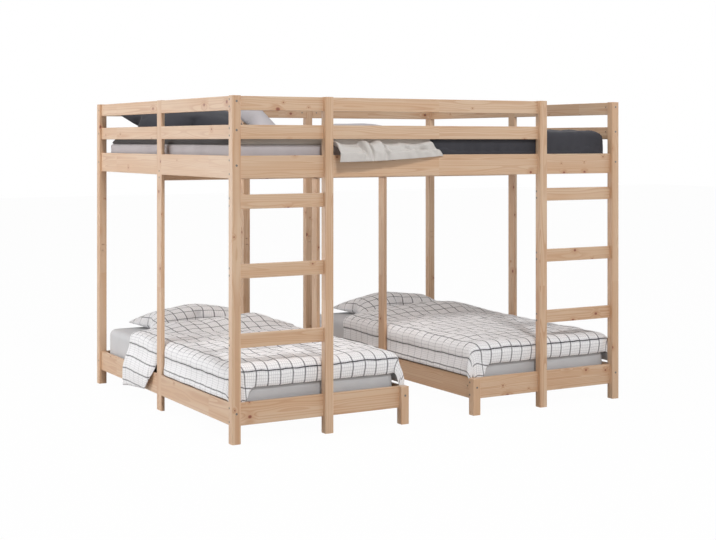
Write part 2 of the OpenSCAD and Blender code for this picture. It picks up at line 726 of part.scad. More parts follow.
// Drop of a crown from its middle to where a pillow rests on it
pillow_dip = 1.9;
module lower_pillow(s) {
    y = half_mattress - pillow_width / 2 - pillow_inset;
    color(plaid) translate([s * lower_bed_x, y, lower_top + rest_gap - pillow_dip])
        pillow(pillow_length, pillow_width, pillow_height, 0.2);
}
module deck_pillow(x, z, lip) {
    color(charcoal) translate([x, half_mattress - deck_pillow_width / 2 - pillow_inset, z])
        pillow(deck_pillow_length, deck_pillow_width, deck_pillow_height, lip);
}
module pillow_lower_left() { lower_pillow(LEFT); }
module pillow_lower_right() { lower_pillow(RIGHT); }
module pillow_deck_left() {
    seat = deck_top + flat_duvet_thick - flat_puff / 2;
    deck_pillow(-deck_left_x - deck_pillow_shift, seat + soft_gap, 0.5);
}
module pillow_deck_right() { deck_pillow(deck_right_x, deck_top + rest_gap - pillow_dip, 0.3); }

// Lower duvets run from the foot of the bed to the pillows, and hang over
// the mattress's sides and foot
duvet_room = half_mattress - pillow_width - 2 * pillow_inset;
duvet_half = (half_mattress + soft_gap + duvet_room) / 2;
duvet_y = duvet_room - duvet_half;
hump_inset = 110;
hump_spread = 150;
end_room = end_face - 2 * soft_gap;
lying = -rest_gap;
module lower_duvet(s) {
    color(plaid) translate([s * lower_bed_x, 0, lower_top])
        duvet([mattress_width / 2 + soft_gap, duvet_half], skirt, duvet_thick,
              [side_drop, lying, side_drop, foot_drop], 9, 4, duvet_y,
              mattress_width / 2 + mattress_side_play - 2 * soft_gap, end_room, duvet_hump);
}
module duvet_lower_left() { lower_duvet(LEFT); }
module duvet_lower_right() { lower_duvet(RIGHT); }

// On the deck the left duvet lies flat under its pillow, and the right one
// is thick and hangs over the mattress's front
flat_puff = 3;
module duvet_deck_left() {
    flat_half = [deck_mattress_width / 2 - skirt - draw_in, half_mattress - skirt - draw_in];
    color(charcoal) translate([-deck_left_x, 0, deck_top])
        duvet(flat_half, skirt, flat_duvet_thick, [lying, lying, lying, lying], 8, flat_puff, 0,
              deck_mattress_width / 2, end_room);
}
module duvet_deck_right() {
    room = half_mattress - deck_pillow_width - 2 * pillow_inset;
    half = (half_mattress + soft_gap + room) / 2;
    front_drop = deck_top - (deck_rail_z + rail_height) - 2;
    color(charcoal) translate([deck_right_x, 0, deck_top])
        duvet([deck_mattress_width / 2 + soft_gap, half], skirt, deck_duvet_thick,
              [front_drop, lying, lying, front_drop], 9, 6, room - half,
              deck_mattress_width / 2 + skirt, end_room);
}

// Corner of the left deck duvet, turned over the front deck rail so that
// its pale lining shows
turnover_start = 38;
turnover_thick = 15;
turnover_reach = board_thick + 18;
turnover_rise = deck_gap - 3;
module duvet_turnover() {
    color(lining)
        translate([-ladder_post_near + turnover_start, front_board_y, deck_rail_z + rail_height])
            hung_fold(turnover_length, [turnover_hang, turnover_end_hang], turnover_thick,
                      turnover_reach, turnover_rise, 4);
}
// Corner of the lower left duvet, hung over the outer rail behind the flat post
corner_start = 96;
corner_rise = 11;
module duvet_corner() {
    color(plaid)
        translate([-side_board_near - board_thick, half_flat + corner_start + corner_length,
                   lower_rail_z + rail_height])
            rotate([0, 0, -90])
                hung_fold(corner_length, [corner_hang, corner_front_hang], side_recess - 1,
                          board_thick, corner_rise, 2);
}

post_front_left();
post_front_right();
post_back_left();
post_back_right();
post_back_inner_left();
post_back_inner_right();
ladder_post_left();
ladder_post_right();
short_leg_left();
short_leg_right();
flat_post_left();
flat_post_right();
flat_post_inner_left();
flat_post_inner_right();
front_top_guard();
front_mid_guard();
front_deck_rail();
back_top_guard();
back_mid_guard();
back_deck_rail();
left_top_guard();
left_mid_guard();
left_deck_rail();
right_top_guard();
right_mid_guard();
right_deck_rail();
ladder_rungs_left();
ladder_rungs_right();
lower_left_foot_rail();
lower_left_head_rail();
lower_left_outer_rail();
lower_left_inner_rail();
lower_right_foot_rail();
lower_right_head_rail();
lower_right_outer_rail();
lower_right_inner_rail();
middle_beam();
deck_ledgers();
lower_left_ledgers();
lower_right_ledgers();
deck_slats();
lower_left_slats();
lower_right_slats();
connector_bolts();
connector_studs();
barrel_nuts();
mattress_lower_left();
mattress_lower_right();
mattress_deck_left();
mattress_deck_right();
pillow_lower_left();
pillow_lower_right();
pillow_deck_left();
pillow_deck_right();
duvet_lower_left();
duvet_lower_right();
duvet_deck_left();
duvet_deck_right();
duvet_turnover();
duvet_corner();
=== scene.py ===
"""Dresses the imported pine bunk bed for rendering.

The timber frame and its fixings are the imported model's own solids, and get
their finishes here. Every mattress, pillow and duvet is rebuilt as a softer,
fuller piece in the place that its plain solid holds.
"""

from __future__ import annotations

import json
import logging
import math
from dataclasses import dataclass, field
from enum import Enum
from typing import Callable, Sequence, Union

import bpy
import numpy as np
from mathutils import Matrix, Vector, noise

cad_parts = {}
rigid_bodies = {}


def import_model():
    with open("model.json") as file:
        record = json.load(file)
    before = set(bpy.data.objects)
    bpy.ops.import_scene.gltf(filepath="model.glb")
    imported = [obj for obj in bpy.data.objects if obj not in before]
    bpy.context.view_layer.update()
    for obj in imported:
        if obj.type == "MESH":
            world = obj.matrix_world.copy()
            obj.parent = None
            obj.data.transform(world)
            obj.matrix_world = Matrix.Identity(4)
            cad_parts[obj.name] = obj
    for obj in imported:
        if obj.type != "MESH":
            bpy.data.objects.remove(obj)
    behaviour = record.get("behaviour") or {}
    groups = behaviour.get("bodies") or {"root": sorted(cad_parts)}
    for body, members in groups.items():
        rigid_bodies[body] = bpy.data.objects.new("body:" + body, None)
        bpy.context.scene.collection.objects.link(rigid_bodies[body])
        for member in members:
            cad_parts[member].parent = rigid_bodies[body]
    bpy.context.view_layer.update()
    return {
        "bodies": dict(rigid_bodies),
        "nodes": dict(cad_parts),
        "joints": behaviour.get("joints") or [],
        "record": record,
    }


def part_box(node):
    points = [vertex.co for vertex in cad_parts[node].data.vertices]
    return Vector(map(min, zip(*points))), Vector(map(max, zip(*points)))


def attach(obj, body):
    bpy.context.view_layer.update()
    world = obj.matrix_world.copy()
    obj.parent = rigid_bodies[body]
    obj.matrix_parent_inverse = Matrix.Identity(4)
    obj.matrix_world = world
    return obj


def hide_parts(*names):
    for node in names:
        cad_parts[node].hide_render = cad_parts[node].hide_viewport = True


log = logging.getLogger("bunk_bed")

Material = bpy.types.Material
Object = bpy.types.Object
Socket = bpy.types.NodeSocket
Array = np.ndarray
Triple = tuple[float, float, float]
Colour = Triple
Term = Union["Value", float]
BODY = "root"
CUT = "cut"
CORNER_POINTS = 8
RUN_POINTS = (26, 52)


def linear(red: int, green: int, blue: int) -> Colour:
    """Returns the linear colour of an 8-bit screen colour."""
    shares = (channel / 255 for channel in (red, green, blue))
    return tuple(s / 12.92 if s <= 0.04045 else ((s + 0.055) / 1.055) ** 2.4 for s in shares)


# ---- Shader expressions ---------------------------------------------------


def _math(operation: str, swapped: bool = False) -> Callable[..., "Value"]:
    """Returns a method of Value that ends in one Math node.

    Args:
        operation: the node's operation.
        swapped: puts the value after the other term.
    """

    def method(value: "Value", *others: Term) -> "Value":
        terms = (*others, value) if swapped else (value, *others)
        return value.shader.maths(operation, *terms)

    return method


class Value:
    """A number socket of a shader, with Python's arithmetic.

    Args:
        shader: the material or world under construction.
        socket: the output socket that carries the number.
    """

    def __init__(self, shader: "Shader", socket: Socket) -> None:
        self.shader = shader
        self.socket = socket

    __add__ = __radd__ = _math("ADD")
    __mul__ = __rmul__ = _math("MULTIPLY")
    __sub__ = _math("SUBTRACT")
    __rsub__ = _math("SUBTRACT", swapped=True)
    __truediv__ = _math("DIVIDE")
    __pow__ = _math("POWER")
    __abs__ = _math("ABSOLUTE")
    # gives 1 where this value is the larger, and 0 elsewhere
    __gt__ = _math("GREATER_THAN")
    fraction = _math("FRACT")
    sine = _math("SINE")
    larger = _math("MAXIMUM")

    def step(self, low: float, high: float) -> "Value":
        """Rises smoothly from 0 at low to 1 at high, either way round."""
        node = self.shader.node(
            "ShaderNodeMapRange",
            {"interpolation_type": "SMOOTHSTEP"},
            {"Value": self, "From Min": low, "From Max": high},
        )
        return Value(self.shader, node.outputs["Result"])


class Shader:
    """A node material, or a world, under construction.

    Args:
        name: its name.
        store: the collection that it is added to, by default the materials.
    """

    def __init__(self, name: str, store: bpy.types.bpy_prop_collection | None = None) -> None:
        self.material = (bpy.data.materials if store is None else store).new(name)
        self.material.use_nodes = True
        self.tree = self.material.node_tree
        self.tree.nodes.clear()

    def node(
        self, kind: str, settings: dict | None = None, feeds: dict | None = None
    ) -> bpy.types.Node:
        """Adds a node.

        Args:
            kind: the node's type.
            settings: attributes, set first; "stops" fills a colour ramp.
            feeds: values or links of the node's inputs.

        Returns:
            The new node.
        """
        node = self.tree.nodes.new(kind)
        for key, value in (settings or {}).items():
            if key == "stops":
                ramp = node.color_ramp.elements
                while len(ramp) < len(value):
                    ramp.new(0.5)
                for element, (place, colour) in zip(ramp, value):
                    element.position = place
                    element.color = (*colour, 1)
            else:
                setattr(node, key, value)
        for key, value in (feeds or {}).items():
            self.feed(node.inputs[key], value)
        return node

    def feed(self, socket: Socket, value: object) -> None:
        """Links a socket, or sets it to a plain value."""
        if isinstance(value, Value):
            value = value.socket
        if isinstance(value, Socket):
            self.tree.links.new(value, socket)
        elif socket.type == "RGBA" and len(value) == 3:
            socket.default_value = (*value, 1)
        else:
            socket.default_value = value

    def maths(self, operation: str, *terms: Term) -> Value:
        """Returns the outcome of a Math node."""
        node = self.node("ShaderNodeMath", {"operation": operation}, dict(enumerate(terms)))
        return Value(self, node.outputs[0])

    def split(self, vector: Socket) -> tuple[Value, ...]:
        """Returns the three numbers of a vector."""
        parts = self.node("ShaderNodeSeparateXYZ", feeds={0: vector})
        return tuple(Value(self, socket) for socket in parts.outputs)

    def point(self) -> tuple[Value, ...]:
        """Returns x, y and z in the frame of the bed, in metres."""
        return self.split(self.node("ShaderNodeTexCoord").outputs["Object"])

    def cut_place(self) -> tuple[Value, ...]:
        """Returns the two flat coordinates of a cut of cloth, in metres."""
        return self.split(self.node("ShaderNodeUVMap", {"uv_map": CUT}).outputs["UV"])[:2]

    def facing(self, axis: int) -> Value:
        """Returns how squarely the surface faces along an axis, either way."""
        return abs(self.split(self.node("ShaderNodeNewGeometry").outputs["Normal"])[axis])

    def joined(self, x: Term, y: Term, z: Term = 0.0) -> Socket:
        """Returns a vector made of three numbers."""
        return self.node("ShaderNodeCombineXYZ", feeds={0: x, 1: y, 2: z}).outputs[0]

    def cloud(
        self, x: Term, y: Term, z: Term = 0.0, scale: float = 1.0, detail: float = 2.0
    ) -> Value:
        """Returns a noise texture that is about 0.5 on average."""
        feeds = {"Vector": self.joined(x, y, z), "Scale": scale, "Detail": detail}
        return Value(self, self.node("ShaderNodeTexNoise", feeds=feeds).outputs["Fac"])

    def weave(self, u: Value, v: Value, spacing: float) -> Value:
        """Returns the height of a plain weave, from 0 to 1."""
        turn = 2 * math.pi / spacing
        return (u * turn).sine() * (v * turn).sine() * 0.5 + 0.5

    def blend(self, mask: Term, first: object, second: object) -> Socket:
        """Returns a colour that goes from first to second as mask rises."""
        node = self.node("ShaderNodeMix", {"data_type": "RGBA"}, {0: mask, 6: first, 7: second})
        return node.outputs[2]

    def bump(self, height: Value, depth: float, strength: float = 1.0) -> Socket:
        """Returns a normal bent by a height; depth is in metres."""
        feeds = {"Strength": strength, "Distance": depth, "Height": height}
        return self.node("ShaderNodeBump", feeds=feeds).outputs["Normal"]

    def surface(self, base: object, roughness: Term, normal: Socket, **fixed: object) -> Material:
        """Ends the material with a Principled surface.

        Args:
            base: the base colour.
            roughness: the roughness.
            normal: the bent normal.
            fixed: other sockets by name, with _ for each space.

        Returns:
            The finished material.
        """
        feeds = {"Base Color": base, "Roughness": roughness, "Normal": normal}
        feeds |= {name.replace("_", " "): value for name, value in fixed.items()}
        skin = self.node("ShaderNodeBsdfPrincipled", feeds=feeds)
        self.node("ShaderNodeOutputMaterial", feeds={"Surface": skin.outputs[0]})
        return self.material


# ---- Finishes -------------------------------------------------------------


class Grain(Enum):
    """The axis that a piece of timber's grain runs along."""

    X = 0
    Y = 1
    Z = 2


@dataclass(frozen=True)
class PineFinish:
    """Planed, clear-lacquered pine.

    Args:
        grain: the axis that the grain runs along.
        seed: picks the board's own figure.
        pale: colour of the early wood.
        warm: colour of the warmer bands.
        late: colour of the late wood lines.
        knot: colour of a knot.
        heart: colour of a knot's heart.
        board_step: how far apart in the wood two boards are cut, in metres.
        joints: where boards meet end to end at a post, along their grain.
        joint_step: how far apart in the wood the two sides of a joint are cut.
        ring_pitch: spacing of the growth rings, in metres.
        knot_cells: how finely the face is divided into places for a knot.
        knot_free: share of those places without a knot.
    """

    grain: Grain
    seed: int
    pale: Colour = linear(213, 184, 155)
    warm: Colour = linear(204, 166, 131)
    late: Colour = linear(184, 134, 97)
    knot: Colour = linear(158, 88, 58)
    heart: Colour = linear(104, 50, 36)
    board_step: float = 3.71
    joints: tuple[float, ...] = (-0.72, 0.0, 0.72)
    joint_step: float = 1.9
    ring_pitch: float = 0.0062
    knot_cells: float = 7.5
    knot_free: float = 0.62

    def build(self) -> Material:
        """Returns the material."""
        s = Shader(f"pine_{self.grain.name.lower()}_{self.seed}")
        place = s.point()
        shift = self.board_step * self.seed
        along = place[self.grain.value] + shift
        across, rise = (place[i] + 0.37 * shift for i in range(3) if i != self.grain.value)
        for joint in self.joints:
            along = along + (place[self.grain.value] > joint) * self.joint_step
        turned = s.facing(1).step(0.45, 0.55)
        side = across * turned + rise * (1 - turned) if self.grain is Grain.Z else rise
        knots, halo = self._knots(s, along, side)
        bend = s.cloud(along * 1.3, across * 5, rise * 5) - 0.5
        belly = (rise * 31 + bend * 2).sine() * 0.045
        depth = (across * 27 + 1.3).sine() * 0.03 + 0.05
        reach = (belly * belly + depth * depth) ** 0.5 + bend * 0.035 + halo * 0.006
        ring = (reach / self.ring_pitch).fraction()
        late = ring.step(0.35, 0.9) * (1 - ring.step(0.93, 1.0))
        bands = s.cloud(along * 1.1, across * 17, rise * 17, detail=3).step(0.36, 0.66)
        fibre = s.cloud(along * 9, across * 420, rise * 420)
        broad = s.cloud(along * 0.9, across * 2.5, rise * 2.5, scale=1.7, detail=1).step(0.3, 0.7)
        wood = self.pale
        for mask, tint in (
            (bands * 0.75, self.warm),
            (late * (0.34 + 0.3 * broad), self.late),
            ((fibre - 0.42) * 0.5, self.warm),
            (halo * 0.45, self.late),
            (knots.step(0.1, 0.9) * 0.85, self.knot),
            (knots.step(0.75, 1.0) * 0.6, self.heart),
        ):
            wood = s.blend(mask, wood, tint)
        relief = late * 0.5 + fibre * 0.35 + knots * 0.4
        return s.surface(
            wood, 0.46 + 0.12 * fibre - 0.08 * late, s.bump(relief, 0.0004, 0.5),
            Coat_Weight=0.4, Coat_Roughness=0.3,
        )

    def _knots(self, s: Shader, along: Value, side: Value) -> tuple[Value, Value]:
        """Returns the knots' mask and the halo of bent grain round them."""
        cell = s.node(
            "ShaderNodeTexVoronoi",
            {"voronoi_dimensions": "2D", "feature": "F1"},
            {"Vector": s.joined(along * 0.8, side), "Scale": self.knot_cells},
        )
        lots = s.node("ShaderNodeSeparateColor", feeds={0: cell.outputs["Color"]})
        present = Value(s, lots.outputs[0]) > self.knot_free
        radius = (Value(s, lots.outputs[1]) ** 2 * 0.011 + 0.0035) * present + 0.00001
        away = Value(s, cell.outputs["Distance"]) / self.knot_cells / radius
        return 1 - away.step(0.35, 1.15), (1 - away.step(0.8, 4.0)) * present


@dataclass(frozen=True)
class SteelFinish:
    """Bright zinc-plated steel of the bolts and barrel nuts.

    Args:
        plate: colour of the plating.
        dull: colour of its dull places.
    """

    plate: Colour = linear(134, 131, 126)
    dull: Colour = linear(96, 92, 86)

    def build(self) -> Material:
        """Returns the material."""
        s = Shader("zinc_plate")
        x, y, z = s.point()
        turned = s.cloud(x * 900, y * 900, z * 900)
        tone = s.blend(turned.step(0.3, 0.8) * 0.4, self.plate, self.dull)
        return s.surface(tone, 0.36 + 0.2 * turned, s.bump(turned, 0.0001, 0.3), Metallic=1.0)


@dataclass(frozen=True)
class SheetFinish:
    """Plain woven bed linen.

    Args:
        name: the material's name.
        thread: colour of the cloth.
        shade: colour of its worn and creased places.
        weave: spacing of its threads, in metres.
        hem: colour of its turned front hem, which lies below front on the Y axis.
        front: where the hem ends.
    """

    name: str
    thread: Colour
    shade: Colour
    weave: float = 0.0011
    hem: Colour | None = None
    front: float = -0.93

    def build(self) -> Material:
        """Returns the material."""
        s = Shader(self.name)
        u, v = s.cut_place()
        threads = s.weave(u, v, self.weave)
        slub = s.cloud(u * 60, v * 700)
        wear = s.cloud(u * 5, v * 5, detail=4).step(0.35, 0.75)
        tone = s.blend(wear * 0.5 + (slub - 0.5) * 0.5, self.thread, self.shade)
        if self.hem:
            past = s.point()[1].step(self.front + 0.001, self.front - 0.001)
            tone = s.blend(past, tone, self.hem)
        relief = threads * 0.5 + slub * 0.5
        return s.surface(
            tone, 0.86 - 0.08 * threads, s.bump(relief, 0.0003, 0.5),
            Sheen_Weight=0.1, Sheen_Roughness=0.5,
        )


@dataclass(frozen=True)
class PlaidFinish:
    """White cotton with a thin dark window check over a faint fine one.

    Args:
        cotton: colour of the ground.
        faint: colour of the fine lines.
        ink: colour of the dark lines.
        check: spacing of the dark lines, in metres.
        fine: spacing of the faint lines.
        line: width of a dark line.
        thread: spacing of the threads.
        bleached: strength left in the cross lines where the cloth hangs at a bed's side.
    """

    cotton: Colour = linear(247, 247, 248)
    faint: Colour = linear(192, 190, 196)
    ink: Colour = linear(42, 41, 48)
    check: float = 0.072
    fine: float = 0.012
    line: float = 0.0054
    thread: float = 0.0011
    bleached: float = 0.3

    def build(self) -> Material:
        """Returns the material."""
        s = Shader("window_check_cotton")
        u, v = s.cut_place()
        drift = s.cloud(u * 14, v * 14) - 0.5
        spread = s.cloud(u * 90, v * 90)
        sideways = s.facing(0).step(0.62, 0.86)
        dark = faint = None
        for flat, worn in ((u, 1.0), (v, 1 - sideways * (1 - self.bleached))):
            flat = flat + drift * 0.008
            near = abs((flat / self.check).fraction() - 0.5) * self.check
            dark_line = near.step(self.line * 0.62, self.line * 0.38) * (0.72 + 0.4 * spread) * worn
            small = abs((flat / self.fine).fraction() - 0.5) * self.fine
            faint_line = small.step(0.0019, 0.0007)
            dark = dark_line if dark is None else dark.larger(dark_line)
            faint = faint_line if faint is None else faint.larger(faint_line)
        cloth = s.blend(faint * (0.25 + 0.7 * spread), self.cotton, self.faint)
        cloth = s.blend(dark, cloth, self.ink)
        threads = s.weave(u, v, self.thread)
        return s.surface(
            cloth, 0.88 - 0.06 * threads, s.bump(threads * 0.5 + spread * 0.3, 0.0003, 0.5),
            Sheen_Weight=0.12, Sheen_Roughness=0.5,
        )


# ---- Meshes ---------------------------------------------------------------


def mesh_of(name: str, points: Sequence, faces: Sequence) -> bpy.types.Mesh:
    """Returns a new mesh."""
    mesh = bpy.data.meshes.new(name)
    mesh.from_pydata([tuple(p) for p in points], [], [tuple(f) for f in faces])
    return mesh


def linked(name: str, data: bpy.types.ID) -> Object:
    """Returns a new object, linked to the scene."""
    made = bpy.data.objects.new(name, data)
    bpy.context.scene.collection.objects.link(made)
    return made


def discard(piece: Object) -> None:
    """Removes an object and its mesh."""
    mesh = piece.data
    bpy.data.objects.remove(piece)
    bpy.data.meshes.remove(mesh)


def smooth(edge: Array | float) -> Array | float:
    """Returns the smooth step of a share, held within 0 and 1."""
    share = np.clip(edge, 0, 1)
    return share * share * (3 - 2 * share)


def ripple(points: Array, scale: float, seed: float = 0.0) -> Array:
    """Returns seeded noise from -1 to 1 at each point of an array."""
    flat = points.reshape(-1, 3) * scale + seed
    return np.array([noise.noise(Vector(p)) for p in flat]).reshape(points.shape[:-1])


def rounded(share: Array) -> Array:
    """Returns the quarter round over a share, held within 0 and 1."""
    return np.sqrt(1 - (1 - np.clip(share, 0, 1)) ** 2)


def quads_of(rows: int, columns: int, closed: bool = False) -> list[tuple[int, ...]]:
    """Returns the faces of a grid of points; closed joins its last column to its first."""
    faces = []
    for start in range(0, (rows - 1) * columns, columns):
        for here in range(columns if closed else columns - 1):
            after, above = (here + 1) % columns, start + columns
            faces.append((start + here, start + after, above + after, above + here))
    return faces


def border_steps(rows: int, columns: int) -> tuple[Array, Array]:
    """Returns each grid point's steps to the nearer end row and to the nearer end column."""
    row, column = np.arange(rows)[:, None], np.arange(columns)[None, :]
    return np.minimum(row, rows - 1 - row), np.minimum(column, columns - 1 - column)


class Cloth:
    """A soft piece's mesh and its flat coordinates.

    Args:
        name: the piece's name.
        points: its vertices.
        faces: its faces.
        flats: a flat coordinate for each vertex, in metres.
    """

    def __init__(self, name: str, points: Array, faces: list, flats: Array) -> None:
        mesh = mesh_of(name, points, faces)
        layer = mesh.uv_layers.new(name=CUT)
        loops = np.zeros(len(mesh.loops), np.int32)
        mesh.loops.foreach_get("vertex_index", loops)
        layer.data.foreach_set("uv", flats[loops].astype(np.float32).ravel())
        mesh.polygons.foreach_set("use_smooth", [True] * len(mesh.polygons))
        mesh.update()
        self.object = linked(name, mesh)

    def refine(self) -> "Cloth":
        """Subdivides the piece smoothly, once."""
        modifier = self.object.modifiers.new("refine", "SUBSURF")
        modifier.levels = modifier.render_levels = 1
        graph = bpy.context.evaluated_depsgraph_get()
        made = bpy.data.meshes.new_from_object(self.object.evaluated_get(graph))
        self.object.modifiers.clear()
        old, self.object.data = self.object.data, made
        name = old.name
        bpy.data.meshes.remove(old)
        made.name = name
        return self

    def declare(self, slot: str, material: Material, fill: float, *nodes: str) -> Object:
        """Gives the piece its finish and body, and hides the nodes it stands for."""
        self.object.data.materials.clear()
        self.object.data.materials.append(material)
        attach(self.object, BODY)
        if nodes:
            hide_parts(*nodes)
        log.info("%s: %d faces", self.object.name, len(self.object.data.polygons))
        return self.object


def grid_normals(points: Array, passes: int = 2) -> Array:
    """Returns the blurred unit normals of a grid of points, shape (rows, columns, 3)."""
    up = np.gradient(points, axis=0)
    right = np.gradient(points, axis=1)
    normal = np.cross(right, up)
    for _ in range(passes):
        p = np.pad(normal, ((1, 1), (1, 1), (0, 0)), mode="edge")
        normal = (p[1:-1, 1:-1] * 2 + p[:-2, 1:-1] + p[2:, 1:-1] + p[1:-1, :-2] + p[1:-1, 2:]) / 6
    return normal / np.maximum(np.linalg.norm(normal, axis=2, keepdims=True), 1e-9)


def shell(name: str, outer: Array, inner: Array, flats: Array) -> Cloth:
    """Returns a closed piece between two grids that share their border.

    Args:
        name: the piece's name.
        outer: the outer face's grid, shape (rows, columns, 3).
        inner: the inner face's grid; its border is left out.
        flats: flat coordinates of the grid, shape (rows, columns, 2).
    """
    rows, columns = outer.shape[:2]
    quads = quads_of(rows, columns)
    below = np.arange(rows * columns).reshape(rows, columns)
    within = (rows - 2, columns - 2)
    below[1:-1, 1:-1] = rows * columns + np.arange(within[0] * within[1]).reshape(within)
    under = below.ravel().tolist()
    faces = quads + [(under[a], under[d], under[c], under[b]) for a, b, c, d in quads]
    points = np.concatenate([outer.reshape(-1, 3), inner[1:-1, 1:-1].reshape(-1, 3)])
    places = np.concatenate([flats.reshape(-1, 2), flats[1:-1, 1:-1].reshape(-1, 2)])
    return Cloth(name, points, faces, places)


# ---- Cloth simulation -----------------------------------------------------


@dataclass
class Settling:
    """One run of Blender's cloth on a mesh.

    Args:
        frames: steps to run.
        stiffness: resistance to stretch and shear.
        bending: resistance to folding.
        pressure: push from inside, for a closed piece.
        gravity: share of gravity that acts.
        gap: distance kept from what it touches, in metres.
        mass: mass of each point.
        damping: how fast air slows it.
        spare: share by which the cloth is larger than its starting shape.
        quality: sub-steps of each step.
        grip: friction of what it rests on.
        skin: thickness that is added to what it rests on.
        supports: what it rests on.
    """

    frames: int = 40
    stiffness: float = 20.0
    bending: float = 2.0
    pressure: float = 0.0
    gravity: float = 1.0
    gap: float = 0.006
    mass: float = 0.3
    damping: float = 1.0
    spare: float = 0.0
    quality: int = 7
    grip: float = 12.0
    skin: float = 0.003
    supports: list[Object] = field(default_factory=list)

    def add_block(self, low: Sequence[float], high: Sequence[float]) -> None:
        """Adds a box that the cloth rests on."""
        spans = list(zip(low, high))
        corners = [(x, y, z) for z in spans[2] for y in spans[1] for x in spans[0]]
        faces = [(0, 2, 3, 1), (4, 5, 7, 6), (0, 1, 5, 4), (2, 6, 7, 3), (0, 4, 6, 2), (1, 3, 7, 5)]
        self.add_form(corners, faces)

    def add_form(self, points: Sequence, faces: Sequence) -> None:
        """Adds a closed form that the cloth rests on."""
        support = linked("support", mesh_of("support", points, faces))
        support.modifiers.new("meet", "COLLISION")
        support.collision.thickness_outer = self.skin
        support.collision.cloth_friction = self.grip
        self.supports.append(support)

    def run(self, piece: Object) -> Array:
        """Settles the piece and takes the supports away.

        Args:
            piece: the mesh to settle; it isn't changed.

        Returns:
            Its settled vertices, shape (count, 3).
        """
        scene = bpy.context.scene
        modifier = piece.modifiers.new("settle", "CLOTH")
        cloth = modifier.settings
        cloth.quality = self.quality
        cloth.mass = self.mass
        cloth.tension_stiffness = cloth.compression_stiffness = self.stiffness
        cloth.shear_stiffness = self.stiffness / 2
        cloth.bending_stiffness = self.bending
        cloth.air_damping = self.damping
        cloth.effector_weights.gravity = self.gravity
        cloth.shrink_min = -self.spare
        if self.pressure:
            cloth.use_pressure = True
            cloth.uniform_pressure_force = self.pressure
        modifier.collision_settings.distance_min = self.gap
        modifier.point_cache.frame_start = 1
        modifier.point_cache.frame_end = self.frames + 1
        for frame in range(1, self.frames + 1):
            scene.frame_set(frame)
        graph = bpy.context.evaluated_depsgraph_get()
        settled = piece.evaluated_get(graph).to_mesh()
        points = np.zeros(len(settled.vertices) * 3, np.float32)
        settled.vertices.foreach_get("co", points)
        piece.evaluated_get(graph).to_mesh_clear()
        piece.modifiers.clear()
        scene.frame_set(1)
        for support in self.supports:
            discard(support)
        self.supports.clear()
        return points.reshape(-1, 3).astype(float)


# ---- What keeps soft pieces off the timber --------------------------------


@dataclass(frozen=True)
class Stop:
    """A timber face that soft pieces are pressed back from.

    Args:
        axis: the axis that the face looks along.
        face: the furthest place allowed on that axis.
        side: 1 where places must stay below it, -1 where above.
        along: the axis that the timber's width runs along.
        centre: its middle on that axis.
        half: half its width.
        slope: how fast the limit eases beyond its width.
    """

    axis: int
    face: float
    side: int
    along: int = 0
    centre: float = 0.0
    half: float = 10.0
    slope: float = 0.5

    def press(self, points: Array) -> None:
        """Moves points back to the allowed side, in place."""
        away = np.maximum(np.abs(points[..., self.along] - self.centre) - self.half, 0)
        limit = self.face + self.side * self.slope * away
        held = np.minimum if self.side > 0 else np.maximum
        points[..., self.axis] = held(points[..., self.axis], limit)


def post_stops(clear: float = 0.0015) -> list[Stop]:
    """Returns the stops at the inner faces of every post of the bed."""
    stops = []
    kinds = ("post_front", "post_back", "post_back_inner", "ladder_post", "short_leg")
    for name in (f"{kind}_{side}" for kind in kinds for side in ("left", "right")):
        low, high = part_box(name)
        face, side = (high.y + clear, -1) if low.y < 0 else (low.y - clear, 1)
        middle, half = (low.x + high.x) / 2, (high.x - low.x) / 2
        stops.append(Stop(axis=1, face=face, side=side, centre=middle, half=half + 0.004))
    return stops


def side_stops(left: float, right: float, half: float = 0.04) -> list[Stop]:
    """Returns the stops at the flat posts on both sides of a bed."""
    shared = {"axis": 0, "along": 1, "half": half, "slope": 0.7}
    return [Stop(face=left, side=-1, **shared), Stop(face=right, side=1, **shared)]


# ---- Soft pieces ----------------------------------------------------------


def walk(half_x: float, half_y: float, radius: float) -> tuple[Array, Array]:
    """Walks round a rectangle with round corners.

    Args:
        half_x: half its width.
        half_y: half its length.
        radius: radius of its corners.

    Returns:
        The points and their outward directions, both of shape (count, 2).
    """
    points, out = [], []
    corners = ((1, 1), (-1, 1), (-1, -1), (1, -1))
    centres = [np.array([sx * (half_x - radius), sy * (half_y - radius)]) for sx, sy in corners]
    for k, centre in enumerate(centres):
        angles = np.radians(90 * k + np.linspace(0, 90, CORNER_POINTS))
        turned = np.column_stack([np.cos(angles), np.sin(angles)])
        shares = np.linspace(0, 1, RUN_POINTS[k % 2] + 2)[1:-1, None]
        start, end = centre + radius * turned[-1], centres[(k + 1) % 4] + radius * turned[-1]
        points += [centre + radius * turned, start + shares * (end - start)]
        out += [turned, np.tile(turned[-1], (len(shares), 1))]
    return np.concatenate(points), np.concatenate(out)


